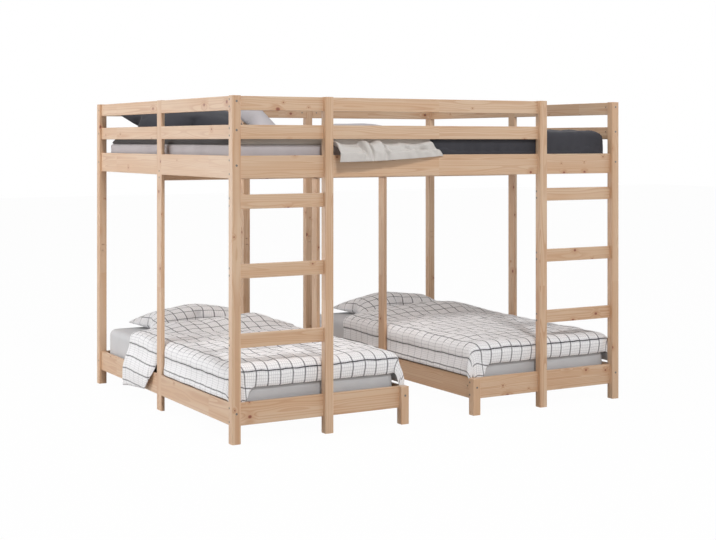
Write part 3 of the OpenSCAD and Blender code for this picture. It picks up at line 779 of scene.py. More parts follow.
@dataclass
class Mattress:
    """A foam mattress in its fitted sheet.

    Args:
        node: the plain solid that it stands for.
        slot: a finish's name, which is not used.
        roll: radius of its edges.
        crown: rise of its middle.
        draw_in: how far its sides are drawn in at mid-length.
        crease: depth of its creases.
        corner: radius of its corners, seen from above.
        rise: how far it stands above its solid.
        seed: picks its creases.
        crown_rings: the rings of its upper side, as shares of the plan.
    """

    node: str
    slot: str
    roll: float = 0.02
    crown: float = 0.009
    draw_in: float = 0.004
    crease: float = 0.0024
    corner: float = 0.042
    rise: float = 0.0
    seed: float = 0.0
    crown_rings: tuple[float, ...] = (0.93, 0.8, 0.62, 0.4, 0.18)

    def _steps(self, low: float, top: float) -> list[tuple[float, float, float, float]]:
        """Returns the rings from below to above.

        Args:
            low: the mattress's underside.
            top: the rim of its upper side.

        Returns:
            For each ring its share of the plan, its height, its inset and the share of its creases.
        """
        arc = [math.radians(a) for a in (0, 20, 45, 70, 90)]
        bends = [(self.roll * (1 - math.cos(a)), self.roll * (1 - math.sin(a))) for a in arc]
        wall = top - low - 2 * self.roll
        return [
            *((share, low, self.roll, 0.0) for share in (0.5, 0.9)),
            *((1, low + up, inset, 0.0) for up, inset in bends),
            *((1, low + self.roll + wall * rise, 0, 1.0) for rise in np.linspace(0.12, 0.88, 8)),
            *((1, top - up, inset, 0.4) for up, inset in bends[::-1]),
            *(
                (share, top + self.crown * (1 - share**3), self.roll, 0.0)
                for share in self.crown_rings
            ),
        ]

    def build(self, material: Material) -> Object:
        """Builds the mattress and returns it."""
        low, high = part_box(self.node)
        high.z += self.rise
        middle, half = (low + high) / 2, (high - low) / 2
        top = high.z - self.crown
        steps = self._steps(low.z, top)
        rings, flats = [], []
        for share, z, inset, soft in steps:
            points, out = walk(half.x - inset, half.y - inset, self.corner - 0.7 * inset)
            bow = self.draw_in * math.sin(math.pi * min(max((z - low.z) / (top - low.z), 0), 1))
            along = np.stack([points[:, 0] / half.x, points[:, 1] / half.y], axis=1)
            inward = bow * (1 - np.abs(along[:, ::-1]) ** 4) * np.abs(along) ** 8
            points = (points - np.sign(points) * inward) * share
            ring = np.column_stack([points + middle[:2], np.full(len(points), z)])
            corner = (np.abs(along).min(1) ** 6)[:, None]
            folds = ripple(ring * (1, 1, 0.35), 9, self.seed)
            folds += ripple(ring * (1, 1, 0.2), 26, self.seed) * 0.5
            ring[:, :2] += out * (self.crease * folds)[:, None] * soft * (0.5 + 1.6 * corner)
            rings.append(ring)
            flats.append(points + out * max(top - z, 0))
        count, n = len(steps), len(rings[0])
        last = (count - 1) * n
        faces = quads_of(count, n, closed=True)
        faces += [(n * count, (i + 1) % n, i) for i in range(n)]
        faces += [(n * count + 1, last + i, last + (i + 1) % n) for i in range(n)]
        ends = [[middle.x, middle.y, low.z], [middle.x, middle.y, high.z]]
        points, places = np.concatenate([*rings, ends]), np.concatenate([*flats, [[0, 0], [0, 0]]])
        cloth = Cloth(self.node + "_sheet", points, faces, places)
        return cloth.declare(self.slot, material, 0.9, self.node)


@dataclass
class Pillow:
    """A filled pillow, blown up from two flat cuts of cloth.

    Args:
        name: the piece's name.
        slot: a finish's name, which is not used.
        centre: middle of its underside.
        size: its length across the bed, its width and its height.
        nodes: the plain solids that it stands for.
        lean: turn about the X axis, in degrees.
        turn: turn about the Z axis, in degrees.
        tilt: turn about the Y axis, in degrees.
        seed: picks its dents.
        dent: depth of its dents, as a share of its height.
        under: how much of its lower half's height its own weight leaves.
        cut: length and width of its flat cuts, as shares of its own.
        parted: how far the two cuts bulge apart before they are blown up.
        spacing: size of its mesh.
        stops: the timber that it is kept off.
    """

    name: str
    slot: str
    centre: Triple
    size: Triple
    nodes: tuple[str, ...] = ()
    lean: float = 0.0
    turn: float = 0.0
    tilt: float = 0.0
    seed: float = 0.0
    dent: float = 0.09
    under: float = 0.38
    cut: tuple[float, float] = (1.06, 1.1)
    parted: float = 0.012
    spacing: float = 0.024
    stops: list[Stop] = field(default_factory=list)

    def build(self, material: Material) -> Object:
        """Builds the pillow and returns it."""
        length, width, height = self.size
        cut = (length * self.cut[0], width * self.cut[1])
        across, along = (np.linspace(-0.5, 0.5, round(side / self.spacing) | 1) for side in cut)
        flat = np.stack(np.meshgrid(across * cut[0], along * cut[1]), axis=2)
        edge = (1 - (2 * across[None, :]) ** 6) * (1 - (2 * along[:, None]) ** 6)
        start = self.parted
        rise = start * np.maximum(edge, 0) ** 0.6
        outer = np.concatenate([flat, rise[..., None]], axis=2)
        cloth = shell(self.name, outer, outer * (1, 1, -1), flat)
        mesh = cloth.object.data
        points = np.array([v.co for v in mesh.vertices], float)
        run = Settling(frames=26, stiffness=12, bending=0.4, pressure=5.5, gravity=0, mass=0.25)
        points = run.run(cloth.object)
        self._place(points)
        mesh.vertices.foreach_set("co", points.astype(np.float32).ravel())
        mesh.update()
        return cloth.refine().declare(self.slot, material, 0.55, *self.nodes)

    def _place(self, points: Array) -> None:
        """Fits the settled points to the pillow's size and place."""
        length, width, height = self.size
        span = points.max(0) - points.min(0)
        points *= (length / span[0], width / span[1], height / span[2])
        level = points * (1, 1, 0)
        dents = ripple(level, 4.5, self.seed) + 0.4 * ripple(level, 13, self.seed)
        points[:, 2] *= 1 + self.dent * dents
        points[:, 2] = np.where(points[:, 2] < 0, points[:, 2] * self.under, points[:, 2])
        points[:, 2] *= height / (points[:, 2].max() - points[:, 2].min())
        for angle, first, second in ((self.lean, 1, 2), (self.tilt, 2, 0), (self.turn, 0, 1)):
            cos, sin = math.cos(math.radians(angle)), math.sin(math.radians(angle))
            a, b = points[:, first].copy(), points[:, second].copy()
            points[:, first], points[:, second] = a * cos - b * sin, a * sin + b * cos
        points[:, 2] -= np.percentile(points[:, 2], 1.5)
        points += self.centre
        points[:, 2] = np.maximum(points[:, 2], self.centre[2])
        for stop in self.stops:
            stop.press(points)


@dataclass(frozen=True)
class Flap:
    """A longer stretch of a duvet's left edge, which hangs over the rail.

    Args:
        start: its front end, on the Y axis.
        end: its back end.
        length: its length past the mattress's edge at its back end.
        ease: length over which it grows from the rest of the edge.
        ends: length over which it ends at its back.
        shortest: its length at its front end, as a share of the full one.
        swing: how far its hem lies behind its root.
        slit: depth of the slit at its front end, as a share of the edge beside it.
    """

    start: float
    end: float
    length: float
    ease: float = 0.09
    ends: float = 0.06
    shortest: float = 0.62
    swing: float = 0.045
    slit: float = 0.7

    def share(self, y: Array) -> Array:
        """Returns how far the flap has grown at each place; it is longer towards its back end."""
        along = np.clip((y - self.start) / (self.end - self.start), 0, 1)
        grown = smooth((y - self.start) / self.ease) * smooth((self.end - y) / self.ends)
        return grown * (self.shortest + (1 - self.shortest) * along)

    def notch(self, y: Array) -> Array:
        """Returns how deep the slit is at each place."""
        return self.slit * np.exp(-(((y - self.start + 0.015) / 0.035) ** 2))


@dataclass
class Duvet:
    """A quilt that is laid on a mattress and hangs over some of its edges.

    Args:
        name: the piece's name.
        slot: a finish's name, which is not used.
        nodes: the plain solids that it stands for.
        bed: the node of the mattress under it.
        head: where its head end lies, on the Y axis.
        hangs: lengths past the mattress's left, right and foot edges.
        loft: its thickness.
        hump: extra height of its gathered head end.
        flap: the corner of it that hangs over the rail.
        supports: nodes whose boxes it rests on.
        spacing: size of its mesh.
        shift: moves the cloth's pattern, in metres.
        seed: picks its folds.
        pucker: depth of the puckers along its seams.
        puckered: how far they run in from the seams.
        seam: width over which its filling thins out towards the seams.
        thinned: share of the filling that its hanging edges lack.
        gathered: length of its gathered head end.
        lifted: its height above the mattress before it falls.
        bulge: how far its hanging edges stand off the mattress before they fall.
        slant: how far they lean out before they fall.
        slant_quick: how far they lean out where nothing falls; it is not used.
        corner: how much longer its left front corner hangs.
        rise: how far its mattress stands above its solid.
        lumps: strength of its uneven filling.
        spare: share by which the cloth is larger than its bed.
        frames: steps that it settles for.
        stops: the timber that it is kept off.
    """

    name: str
    slot: str
    nodes: tuple[str, ...]
    bed: str
    head: float
    hangs: Triple
    loft: float = 0.036
    hump: float = 0.0
    flap: Flap | None = None
    supports: tuple[str, ...] = ()
    spacing: float = 0.019
    shift: tuple[float, float] = (0.0, 0.0)
    seed: float = 0.0
    pucker: float = 0.003
    puckered: float = 0.14
    seam: float = 0.05
    thinned: float = 0.42
    gathered: float = 0.46
    lifted: float = 0.012
    bulge: float = 0.014
    slant: float = 0.42
    slant_quick: float = 0.06
    corner: float = 0.0
    rise: float = 0.0
    lumps: float = 1.0
    spare: float = 0.02
    frames: int = 48
    stops: list[Stop] = field(default_factory=list)

    def build(self, material: Material, mattress: Object) -> Object:
        """Drapes the duvet and returns it.

        Args:
            material: its finish.
            mattress: the mattress under it, which isn't changed.
        """
        low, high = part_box(self.bed)
        high.z += self.rise
        left, right, foot = self.hangs
        width, length = high.x - low.x + left + right, self.head - low.y + foot
        xs = np.linspace(low.x - left, high.x + right, round(width / self.spacing))
        ys = np.linspace(low.y - foot, self.head, round(length / self.spacing))
        flat = np.stack(np.meshgrid(xs, ys), axis=2)
        if self.flap:
            past = np.maximum(low.x - flat[..., 0], 0) / left
            grown = past * self.flap.share(flat[..., 1])
            flat[..., 0] -= grown * (self.flap.length - left)
            flat[..., 1] += grown * self.flap.swing
            flat[..., 0] += past * left * self.flap.notch(flat[..., 1])
        if self.corner:
            past = np.maximum(low.y - flat[..., 1], 0) / foot
            inside, outside = low.x + 0.12 - flat[..., 0], low.x - flat[..., 0]
            near = smooth(inside / 0.12) * (1 - smooth(outside / 0.05))
            flat[..., 1] -= past * near * self.corner
        mid = self._wrapped(flat, low, high)
        mid = self._settled(mid, flat, low, high, mattress)
        outer, inner, tucks = self._filled(mid, flat, low, high)
        for face in (outer, inner):
            for stop in self.stops:
                stop.press(face)
        outer -= tucks
        quilt = shell(self.name, outer, inner, flat + np.array(self.shift))
        return quilt.refine().declare(self.slot, material, 0.5, *self.nodes)

    def _wrapped(self, flat: Array, low: Vector, high: Vector) -> Array:
        """Returns the cloth bent down round the mattress, not yet fallen."""
        x, y = flat[..., 0], flat[..., 1]
        inside_x, inside_y = np.clip(x, low.x, high.x), np.maximum(y, low.y)
        over_x, over_y = x - inside_x, y - inside_y
        drop = np.abs(over_x) + np.abs(over_y)
        lift = self.lifted + self._mound(inside_x, inside_y, low, high)
        slant = self.slant
        if self.flap:
            slant = slant + 0.25 * self.flap.share(y) * (x < low.x)
        fall = np.sqrt(1 - slant * slant)
        out = self.bulge * np.minimum(drop / 0.05, 1)
        places = [
            inside_x + over_x * slant + np.sign(over_x) * out,
            inside_y + over_y * slant + np.sign(over_y) * out,
            high.z + lift - drop * fall,
        ]
        return np.stack(places, axis=2)

    def _mound(self, x: Array, y: Array, low: Vector, high: Vector) -> Array:
        """Returns the height of the gathered head end above the mattress."""
        share = (y - (self.head - self.gathered)) / 0.34
        rise = smooth(share) * (1 - 0.25 * smooth((y - self.head + 0.08) / 0.08))
        side = np.minimum((x - low.x) / 0.3, (high.x - x) / 0.28)
        roll = 1 + 0.07 * np.sin(x * 11 + self.seed) + 0.09 * np.sin(x * 23 + 9 * y + 2 * self.seed)
        climb = 0.55 + 0.45 * smooth((x - low.x) / 0.8)
        return self.hump * rise * roll * climb * (0.3 + 0.7 * smooth(side))

    def _settled(
        self, mid: Array, flat: Array, low: Vector, high: Vector, mattress: Object
    ) -> Array:
        """Returns the cloth after it has fallen on the mattress and the rails."""
        rows, columns = flat.shape[:2]
        start = mid.copy()
        start[..., 2] += 0.006 + 0.004 * ripple(start, 7, self.seed)
        faces = quads_of(rows, columns)
        sheet = Cloth(self.name + "_fall", start.reshape(-1, 3), faces, flat.reshape(-1, 2))
        run = Settling(
            self.frames, stiffness=32, bending=1.2, mass=0.15, damping=1.2, spare=self.spare
        )
        under = mattress.data
        run.add_form([v.co for v in under.vertices], [p.vertices for p in under.polygons])
        for node in self.supports:
            run.add_block(*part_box(node))
        if self.hump:
            rows_under, columns_under = 18, 26
            xs = np.linspace(low.x + 0.01, high.x - 0.01, columns_under)
            x, y = np.meshgrid(xs, np.linspace(self.head - 0.44, self.head + 0.08, rows_under))
            z = high.z - 0.02 + self._mound(x, y, low, high)
            mound = np.stack([x, y, z], axis=2).reshape(-1, 3)
            run.add_form(mound, quads_of(rows_under, columns_under))
        points = run.run(sheet.object).reshape(rows, columns, 3)
        discard(sheet.object)
        return points

    def _filled(
        self, mid: Array, flat: Array, low: Vector, high: Vector
    ) -> tuple[Array, Array, Array]:
        """Returns the outer and inner face of the filled duvet, and the depth of its puckers."""
        rows, columns = mid.shape[:2]
        by_row, by_column = border_steps(rows, columns)
        to_edge = np.minimum(by_row, by_column) * self.spacing
        rim = rounded(to_edge / self.seam)
        place = np.concatenate([flat, np.zeros((rows, columns, 1))], axis=2)
        soft = 0.3 * ripple(place, 5.5, self.seed) + 0.2 * ripple(place, 13, self.seed + 4)
        soft = 1 + self.lumps * (soft + 0.12 * ripple(place, 28, self.seed + 8))
        hung = smooth((high.z - 0.01 - mid[..., 2]) / 0.05)
        near = np.clip(1 - to_edge / self.puckered, 0, 1)
        along = np.where(by_row < by_column, flat[..., 0], flat[..., 1])
        gathers = 0.5 + 0.5 * np.sin(along * 95 + 6 * ripple(place, 3.0, self.seed + 9))
        tucks = gathers * self.pucker * near * rim
        normal = grid_normals(mid, 2)
        outer = mid + normal * (self.loft * (1 - self.thinned * hung) * rim * soft)[..., None]
        inner = mid.copy()
        over = (mid[..., 0] > low.x) & (mid[..., 0] < high.x) & (mid[..., 1] > low.y)
        inner[..., 2] = np.where(over, np.minimum(inner[..., 2], high.z + 0.003), inner[..., 2])
        return outer, inner, normal * tucks[..., None]


@dataclass
class FlatDuvet:
    """A duvet that lies smooth on its mattress and hangs nowhere.

    Args:
        node: the plain solid that it stands for.
        slot: a finish's name, which is not used.
        droop: how far its rim sinks over the mattress's edge.
        seam: height of its seam, as a share of its own.
        fill: share of the room above the seam that it fills.
        seed: picks its waves.
        spacing: size of its mesh.
    """

    node: str
    slot: str
    droop: float = 0.016
    seam: float = 0.45
    fill: float = 0.94
    seed: float = 3.0
    spacing: float = 0.022

    def build(self, material: Material) -> Object:
        """Builds the duvet and returns it."""
        low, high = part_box(self.node)
        xs, ys = np.arange(low.x, high.x, self.spacing), np.arange(low.y, high.y, self.spacing)
        flat = np.stack(np.meshgrid(xs, ys), axis=2)
        rows, columns = flat.shape[:2]
        to_edge = np.minimum(*border_steps(rows, columns)) * self.spacing
        place = np.concatenate([flat, np.zeros((rows, columns, 1))], axis=2)
        soft = 1 + 0.08 * ripple(place, 4, self.seed)
        soft += 0.05 * ripple(place * (1, 0.5, 1), 14, self.seed)
        seam = low.z + self.seam * (high.z - low.z)
        droop = self.droop * (1 - smooth(to_edge / 0.05))
        top = seam + (high.z - seam) * self.fill * rounded(to_edge / 0.012) * soft - droop
        bottom = seam - (seam - low.z) * rounded(to_edge / 0.02) - droop
        outer = np.concatenate([flat, top[..., None]], axis=2)
        inner = np.concatenate([flat, bottom[..., None]], axis=2)
        quilt = shell(self.node + "_quilt", outer, inner, flat)
        return quilt.refine().declare(self.slot, material, 0.5, self.node)


def swept(profile: Array, rows: int) -> Array:
    """Returns smooth curves through each column of control points.

    Args:
        profile: control points, shape (controls, columns, 3).
        rows: points on each curve.
    """
    controls = len(profile)
    before, after = 2 * profile[:1] - profile[1:2], 2 * profile[-1:] - profile[-2:-1]
    padded = np.concatenate([before, profile, after])
    made = []
    for place in np.linspace(0, controls - 1 - 1e-6, rows):
        i, t = int(place), place - int(place)
        a, b, c, d = padded[i : i + 4]
        bent, twisted = 2 * a - 5 * b + 4 * c - d, 3 * b - a - 3 * c + d
        made.append(0.5 * (2 * b + (c - a) * t + bent * t**2 + twisted * t**3))
    return np.array(made)


@dataclass
class Turnover:
    """Corner of the left deck duvet, turned over the rail to show its lining.

    Args:
        node: the plain solid that it stands for.
        slot: a finish's name, which is not used.
        gathers: for each crease its place, its lean, its depth, its width and its length.
        crest: places along the rail and how far the fold drops there.
        stand: how far its left end stands off the rail.
        shift: how far it lies left of its solid.
        hangs: its flat length, from the deck down to the hem.
        rims: shares of its height and its length over which its rims are rounded.
        loft: its thickness.
        rows: points from the deck down to the hem.
        columns: points along the rail.
    """

    node: str = "duvet_turnover"
    slot: str = "lining_cotton"
    gathers: tuple[tuple[float, float, float, float, float], ...] = (
        (0.255, 0.0, 1.0, 0.014, 0.6),
        (0.333, -0.003, 1.0, 0.011, 1.0),
        (0.485, -0.006, 0.9, 0.014, 1.0),
        (0.7, -0.003, 0.4, 0.03, 0.45),
        (0.86, -0.004, 0.35, 0.03, 0.4),
    )
    crest: tuple[tuple[float, float], ...] = (
        (0.0, 0.003), (0.03, 0.01), (0.07, 0.026), (0.16, 0.032), (0.235, 0.032), (0.262, 0.012),
        (0.285, 0.0), (0.305, 0.0), (0.332, 0.014), (0.375, 0.02), (0.405, 0.01), (0.435, 0.0),
        (0.46, 0.0), (0.49, 0.012), (0.53, 0.026), (0.62, 0.024), (0.68, 0.01), (0.74, 0.018),
        (0.81, 0.026), (0.9, 0.014), (1.0, 0.006),
    )
    stand: float = 0.066
    shift: float = 0.024
    hangs: float = 0.2
    rims: tuple[float, float] = (0.08, 0.02)
    loft: float = 0.014
    rows: int = 34
    columns: int = 150

    def build(self, material: Material) -> Object:
        """Builds the turned corner and returns it."""
        low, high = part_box(self.node)
        rail_low, rail_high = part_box("front_deck_rail")
        face, top = rail_low.y, rail_high.z
        s = np.linspace(0, 1, self.columns)
        start, end = low.x - self.shift, high.x - self.shift
        hang = low.z + (top - 0.008 - low.z) * s**1.6
        out = face - 0.01 - self.stand * (1 - 0.93 * s**1.5)
        sag = np.interp(s, *np.array(self.crest).T)
        sag = np.convolve(np.pad(sag, 3, mode="edge"), np.ones(7) / 7, mode="valid")

        def pinch(row: int) -> Array:
            """Returns the depth of the creases on a row of control points."""
            return sum(
                depth
                * smooth((tail * 8 - row) / 2 + 1)
                * np.exp(-(((s - at - lean * row) / wide) ** 2))
                for at, lean, depth, wide, tail in self.gathers
            )

        wave = 0.003 * np.sin(s * 31 + 1.2 * np.sin(s * 9)) + 0.002 * np.sin(s * 67)
        lid, inner, half = high.z - 0.001, high.y + 0.003, (face + out) / 2
        # for each row from the deck to the hem: its right end, its place in depth and its height
        controls = [
            (-0.026, inner, lid + 0.009),
            (-0.03, inner - 0.008, lid - 0.004 - 0.8 * sag),
            (-0.05, face + 0.004 + 0.02 * pinch(1) + wave, lid - 0.002 - sag - 0.02 * pinch(1)),
            (-0.045, half - 0.004 + 0.03 * pinch(2) + wave, lid - 0.01 - sag - 0.02 * pinch(2)),
            (-0.022, out + 0.004 + 0.03 * pinch(3) + 0.5 * sag + wave, lid - 0.042 - 0.8 * sag),
            (0.002, out + 0.026 * pinch(5) - 1.4 * wave, (lid + hang) / 2 - 0.012),
            (0.02, out + 0.003 + 0.014 * pinch(7) - wave, hang + 0.014),
            (0.032, out + 0.008 + 0.006 * pinch(8) - 0.6 * wave, hang - 0.001),
        ]
        profile = np.zeros((len(controls), self.columns, 3))
        for row, (past, y, z) in zip(profile, controls):
            row[:, 0] = start + (end + past - start) * s
            row[:, 1], row[:, 2] = y, z
        outer = swept(profile, self.rows)
        normal = grid_normals(outer, 1)
        if normal[self.rows // 2, self.columns // 2, 1] > 0:
            normal = -normal
        t = np.linspace(0, 1, self.rows)[:, None]
        rim = np.minimum(np.minimum(t, 1 - t) / self.rims[0], np.minimum(s, 1 - s) / self.rims[1])
        inner = outer - normal * (self.loft * rounded(rim))[..., None]
        falls = np.linspace(0, self.hangs, self.rows)
        flats = np.stack(np.meshgrid(s * (end - start), falls), axis=2)
        lining = shell(self.node + "_lining", outer, inner, flats)
        return lining.refine().declare(self.slot, material, 0.3, self.node)


# ---- Sub-assemblies -------------------------------------------------------


@dataclass
class TimberFrame:
    """The pine frame: its posts, boards, rungs, ledgers and slats.

    Args:
        nodes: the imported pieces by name.
        figures: how many boards are cut differently.
        upright: words of the pieces whose grain runs upwards.
        lengthwise: ends of the names of those whose grain runs along Y.
        timber: words that only pieces of timber have.
    """

    nodes: dict[str, Object]
    figures: int = 4
    upright: tuple[str, ...] = ("post", "leg")
    lengthwise: tuple[str, ...] = (
        "left_top_guard", "left_mid_guard", "left_deck_rail", "right_top_guard", "right_mid_guard",
        "right_deck_rail", "outer_rail", "inner_rail", "lower_left_ledgers", "lower_right_ledgers",
        "deck_slats",
    )
    timber: tuple[str, ...] = ("post", "leg", "guard", "rail", "rungs", "beam", "ledgers", "slats")

    def grain_of(self, name: str) -> Grain:
        """Returns the grain of a piece from its name."""
        if any(word in name for word in self.upright):
            return Grain.Z
        return Grain.Y if any(name.endswith(word) for word in self.lengthwise) else Grain.X

    def dress(self) -> None:
        """Gives every piece of timber its finish."""
        made: dict[tuple[Grain, int], Material] = {}
        names = sorted(n for n in self.nodes if any(word in n for word in self.timber))
        for place, name in enumerate(names):
            key = (self.grain_of(name), place % self.figures)
            if key not in made:
                made[key] = PineFinish(*key).build()
            dress(self.nodes[name], made[key])
        log.info("timber: %d pieces in %d finishes", len(names), len(made))


def dress(piece: Object, material: Material) -> None:
    """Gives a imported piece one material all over."""
    for slot in piece.material_slots:
        slot.material = material
    if not piece.material_slots:
        piece.data.materials.append(material)


@dataclass
class Fixings:
    """The bolts, studs and barrel nuts.

    Args:
        nodes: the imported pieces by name.
        names: those of the fixings.
    """

    nodes: dict[str, Object]
    names: tuple[str, ...] = ("connector_bolts", "connector_studs", "barrel_nuts")

    def dress(self) -> None:
        """Gives the fixings their plated finish."""
        steel = SteelFinish().build()
        for name in self.names:
            dress(self.nodes[name], steel)
        log.info("fixings: %s", ", ".join(self.names))


@dataclass
class LowerBed:
    """Bedding of one lower bed: mattress, pillow and checked duvet.

    Args:
        side: left or right.
        linen: finish of the mattress.
        check: finish of the pillow and the duvet.
        seed: picks the folds.
        hangs: lengths of the duvet past the mattress's left, right and foot edges.
        hump: height of its gathered head end.
        shift: moves the duvet's checks.
        flap: the corner of the duvet that hangs over the rail.
        extra: further solids that the duvet stands for.
        rails: the rails that the duvet may rest on.
        rise: how far the mattress stands above its solid.
    """

    side: str
    linen: Material
    check: Material
    seed: float
    hangs: Triple = (0.132, 0.132, 0.064)
    hump: float = 0.078
    shift: tuple[float, float] = (0.016, 0.0)
    flap: Flap | None = None
    extra: tuple[str, ...] = ()
    rails: tuple[str, ...] = ("outer_rail", "inner_rail", "foot_rail")
    rise: float = 0.014

    def build(self) -> None:
        """Builds the bed's soft pieces."""
        bed = f"mattress_lower_{self.side}"
        low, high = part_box(bed)
        mattress = Mattress(
            bed, "grey_sheet", roll=0.036, corner=0.05, rise=self.rise, seed=self.seed
        ).build(self.linen)
        rail_low, rail_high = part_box(f"lower_{self.side}_inner_rail")
        play = rail_low.x - high.x if self.side == "left" else low.x - rail_high.x
        stops = post_stops() + side_stops(low.x - play + 0.0005, high.x + play - 0.0005)
        node = f"pillow_lower_{self.side}"
        pillow_low, pillow_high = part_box(node)
        middle, span = (pillow_low + pillow_high) / 2, pillow_high - pillow_low
        Pillow(
            node + "_case", "plaid_cotton", (middle.x, middle.y + 0.01, pillow_low.z + 0.001),
            (span.x, span.y, span.z + 0.008), (node,), seed=self.seed, stops=stops,
        ).build(self.check)
        Duvet(
            f"duvet_lower_{self.side}_quilt", "plaid_cotton",
            (f"duvet_lower_{self.side}", *self.extra), bed,
            head=pillow_low.y + 0.015, hangs=self.hangs, hump=self.hump, flap=self.flap,
            supports=tuple(f"lower_{self.side}_{rail}" for rail in self.rails),
            shift=self.shift, seed=self.seed, corner=0.12, rise=self.rise, stops=stops,
        ).build(self.check, mattress)


@dataclass
class DeckBedding:
    """Bedding of the bunk deck: a flat duvet left, a thick one right and three pillows.

    Args:
        pillow_depth: width of the left pillows, from front to back.
        pillow_height: their height.
        lean: how far they lean on the back guards, in degrees.
        dark_width: length of the dark pillow.
        dark_inset: its distance from the left edge of the left mattress.
        pale_width: length of the pale one.
        pale_inset: its distance from the mattress's right edge.
    """

    pillow_depth: float = 0.5
    pillow_height: float = 0.13
    lean: float = 21.0
    dark_width: float = 0.85
    dark_inset: float = 0.012
    pale_width: float = 0.22
    pale_inset: float = 0.133

    def build(self, lining: Material) -> None:
        """Builds the deck's soft pieces.

        Args:
            lining: finish of the turned-over corner.
        """
        lilac = SheetFinish("lilac_linen", linear(200, 195, 198), linear(176, 170, 175)).build()
        charcoal = SheetFinish("charcoal_cotton", linear(50, 50, 57), linear(37, 37, 44)).build()
        pale = SheetFinish("pale_linen", linear(204, 198, 200), linear(184, 177, 181)).build()
        stops = post_stops()
        Mattress(
            "mattress_deck_left", "lilac_sheet", roll=0.014, crown=0.003, corner=0.018, seed=5.0
        ).build(lilac)
        right = Mattress("mattress_deck_right", "lilac_sheet", seed=8.0).build(lilac)
        hem = linear(190, 183, 175)
        turned = SheetFinish(
            "charcoal_turned_hem", linear(68, 65, 66), linear(52, 50, 53), hem=hem
        ).build()
        FlatDuvet("duvet_deck_left", "charcoal_cotton").build(turned)
        bed_low, bed_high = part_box("mattress_deck_left")
        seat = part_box("pillow_deck_left")[0].z + 0.003
        back = bed_high.y - self.pillow_depth / 2 + 0.012
        stops.append(Stop(axis=1, face=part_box("back_mid_guard")[0].y - 0.003, side=1))
        dark_x = bed_low.x + self.dark_inset + self.dark_width / 2
        pale_x = bed_high.x - self.pale_inset - self.pale_width / 2
        for name, slot, finish, x, width, turn, seed, solids in (
            (
                "dark", "charcoal_cotton", charcoal, dark_x, self.dark_width, 0.0, 2.0,
                ("pillow_deck_left",),
            ),
            ("pale", "lilac_sheet", pale, pale_x, self.pale_width, -3.0, 6.0, ()),
        ):
            size = (width, self.pillow_depth, self.pillow_height)
            Pillow(
                f"pillow_deck_left_{name}", slot, (x, back, seat), size, solids,
                lean=self.lean, turn=turn, under=0.3, seed=seed, stops=stops,
            ).build(finish)
        low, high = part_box("pillow_deck_right")
        middle, span = (low + high) / 2, high - low
        Pillow(
            "pillow_deck_right_case", "lilac_sheet", (middle.x - 0.1, middle.y, low.z + 0.001),
            (span.x * 0.84, span.y, span.z * 0.9), ("pillow_deck_right",),
            tilt=3, seed=9.0, stops=stops,
        ).build(pale)
        low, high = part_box("mattress_deck_right")
        Duvet(
            "duvet_deck_right_quilt", "charcoal_cotton", ("duvet_deck_right",),
            "mattress_deck_right",
            head=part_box("duvet_deck_right")[1].y - 0.01, hangs=(0.02, 0.05, 0.1), loft=0.078,
            supports=("front_deck_rail",), seed=11.0, pucker=0.012, lumps=0.45,
            frames=30, spare=0.03,
            stops=stops + side_stops(low.x - 0.05, high.x + 0.035) + [
                Stop(axis=1, face=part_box("front_deck_rail")[1].y + 0.002, side=-1),
                Stop(axis=0, face=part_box("duvet_deck_right")[1].x, side=1),
            ],
        ).build(charcoal, right)
        Turnover().build(lining)


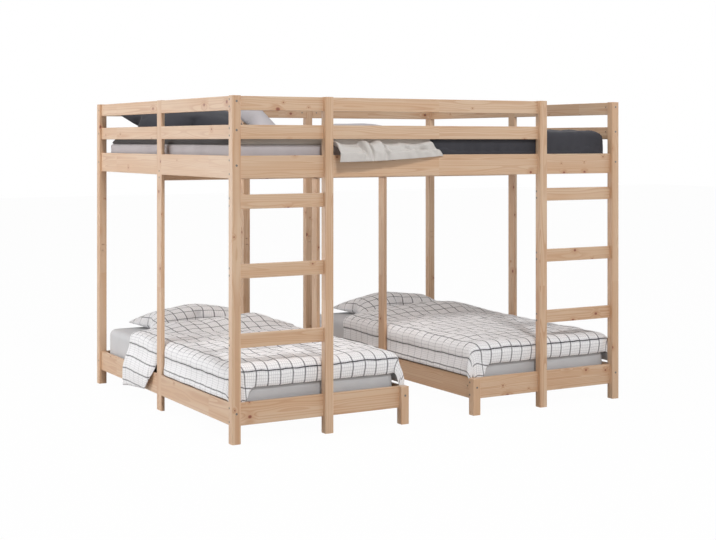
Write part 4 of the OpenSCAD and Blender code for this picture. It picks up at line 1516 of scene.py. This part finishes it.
@dataclass
class Studio:
    """The floor, the lamps and the camera, placed as the photograph shows.

    Args:
        eye: place of the camera.
        bearing: its turn from straight ahead, in degrees.
        lens: its focal length, in millimetres.
        rise: its upward shift, as a share of the picture's width.
        reach: half the floor's width.
        ambient: strength of the light from all round.
    """

    eye: Triple = (-4.2454, -7.4842, 1.5770)
    bearing: float = -29.914
    lens: float = 68.357
    rise: float = -0.18024
    reach: float = 30.0
    ambient: float = 0.14

    def build(self) -> None:
        """Builds the studio."""
        scene = bpy.context.scene
        scene.view_settings.view_transform = "Standard"
        self._camera(scene)
        self._lamps()
        self._world(scene)
        self._floor()

    def _camera(self, scene: bpy.types.Scene) -> None:
        """Adds the camera."""
        data = bpy.data.cameras.new("camera")
        data.lens, data.sensor_width, data.shift_y = self.lens, 36.0, self.rise
        data.sensor_fit = "HORIZONTAL"
        scene.camera = linked("camera", data)
        scene.camera.location = self.eye
        scene.camera.rotation_euler = (math.radians(90), 0, math.radians(self.bearing))

    def _lamps(self) -> None:
        """Adds the lamps, each turned towards the bed."""
        for name, size, power, place, aim in (
            ("left", 5.4, 375, (-7.6, 0.4, 6.5), (-0.4, 0.0, 0.8)),
            ("high", 1.4, 630, (-2.2, -9.4, 9.0), (0.0, -0.8, 0.9)),
            ("front", 4.8, 125, (4.8, -9.0, 5.0), (0.0, -0.5, 0.8)),
            ("right", 6.0, 180, (9.6, -5.2, 4.3), (0.3, 0.0, 0.8)),
            ("panel", 2.4, 130, (-5.5, 4.0, 0.6), (-1.0, -0.4, 0.3)),
            ("under", 2.0, 7, (0.0, 0.1, 1.34), (0.0, 0.1, 0.5)),
        ):
            data = bpy.data.lights.new(name, "AREA")
            data.size, data.energy = size, power
            lamp = linked(name, data)
            lamp.location = place
            lamp.visible_camera = False
            lamp.rotation_euler = (Vector(aim) - Vector(place)).to_track_quat("-Z", "Y").to_euler()

    def _world(self, scene: bpy.types.Scene) -> None:
        """Adds soft light from all round, white where the camera sees it."""
        s = Shader("studio", bpy.data.worlds)
        path = s.node("ShaderNodeLightPath")
        seen = Value(s, path.outputs["Is Camera Ray"]).larger(path.outputs["Is Glossy Ray"])
        soft, white = (
            s.node("ShaderNodeBackground", feeds={0: colour, 1: strength}).outputs[0]
            for colour, strength in (((1.0, 0.99, 0.98), self.ambient), ((1.0, 1.0, 1.0), 1.0))
        )
        both = s.node("ShaderNodeMixShader", feeds={0: seen, 1: soft, 2: white})
        s.node("ShaderNodeOutputWorld", feeds={"Surface": both.outputs[0]})
        scene.world = s.material

    def _floor(self) -> None:
        """Adds the pale floor, which keeps a faint shadow."""
        signs = ((-1, -1), (1, -1), (1, 1), (-1, 1))
        corners = [(x * self.reach, y * self.reach, 0) for x, y in signs]
        floor = linked("floor", mesh_of("floor", corners, [(0, 1, 2, 3)]))
        s = Shader("floor_white")
        paint = s.node("ShaderNodeBsdfDiffuse", feeds={"Color": (0.8, 0.79, 0.78)})
        glow = s.node("ShaderNodeEmission", feeds={"Color": (1.0, 1.0, 1.0), "Strength": 1.0})
        path = s.node("ShaderNodeLightPath")
        seen = Value(s, path.outputs["Is Camera Ray"]) * 0.98
        feeds = {0: seen, 1: paint.outputs[0], 2: glow.outputs[0]}
        both = s.node("ShaderNodeMixShader", feeds=feeds)
        s.node("ShaderNodeOutputMaterial", feeds={"Surface": both.outputs[0]})
        floor.data.materials.append(s.material)


def main() -> None:
    """Loads the frame and builds the scene round it."""
    logging.basicConfig(level=logging.INFO, format="%(name)s: %(message)s")
    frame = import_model()
    nodes = frame["nodes"]
    Studio().build()
    TimberFrame(nodes).dress()
    Fixings(nodes).dress()
    grey = SheetFinish("grey_jersey", linear(202, 202, 204), linear(184, 184, 187)).build()
    lining = SheetFinish("lining_cotton", linear(210, 206, 202), linear(204, 198, 192)).build()
    check = PlaidFinish().build()
    flap = Flap(0.045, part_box("duvet_corner")[1].y + 0.06, length=0.315)
    LowerBed("left", grey, check, 1.0, flap=flap, extra=("duvet_corner",)).build()
    LowerBed("right", grey, check, 14.0).build()
    DeckBedding().build(lining)


if __name__ == "__main__":
    main()
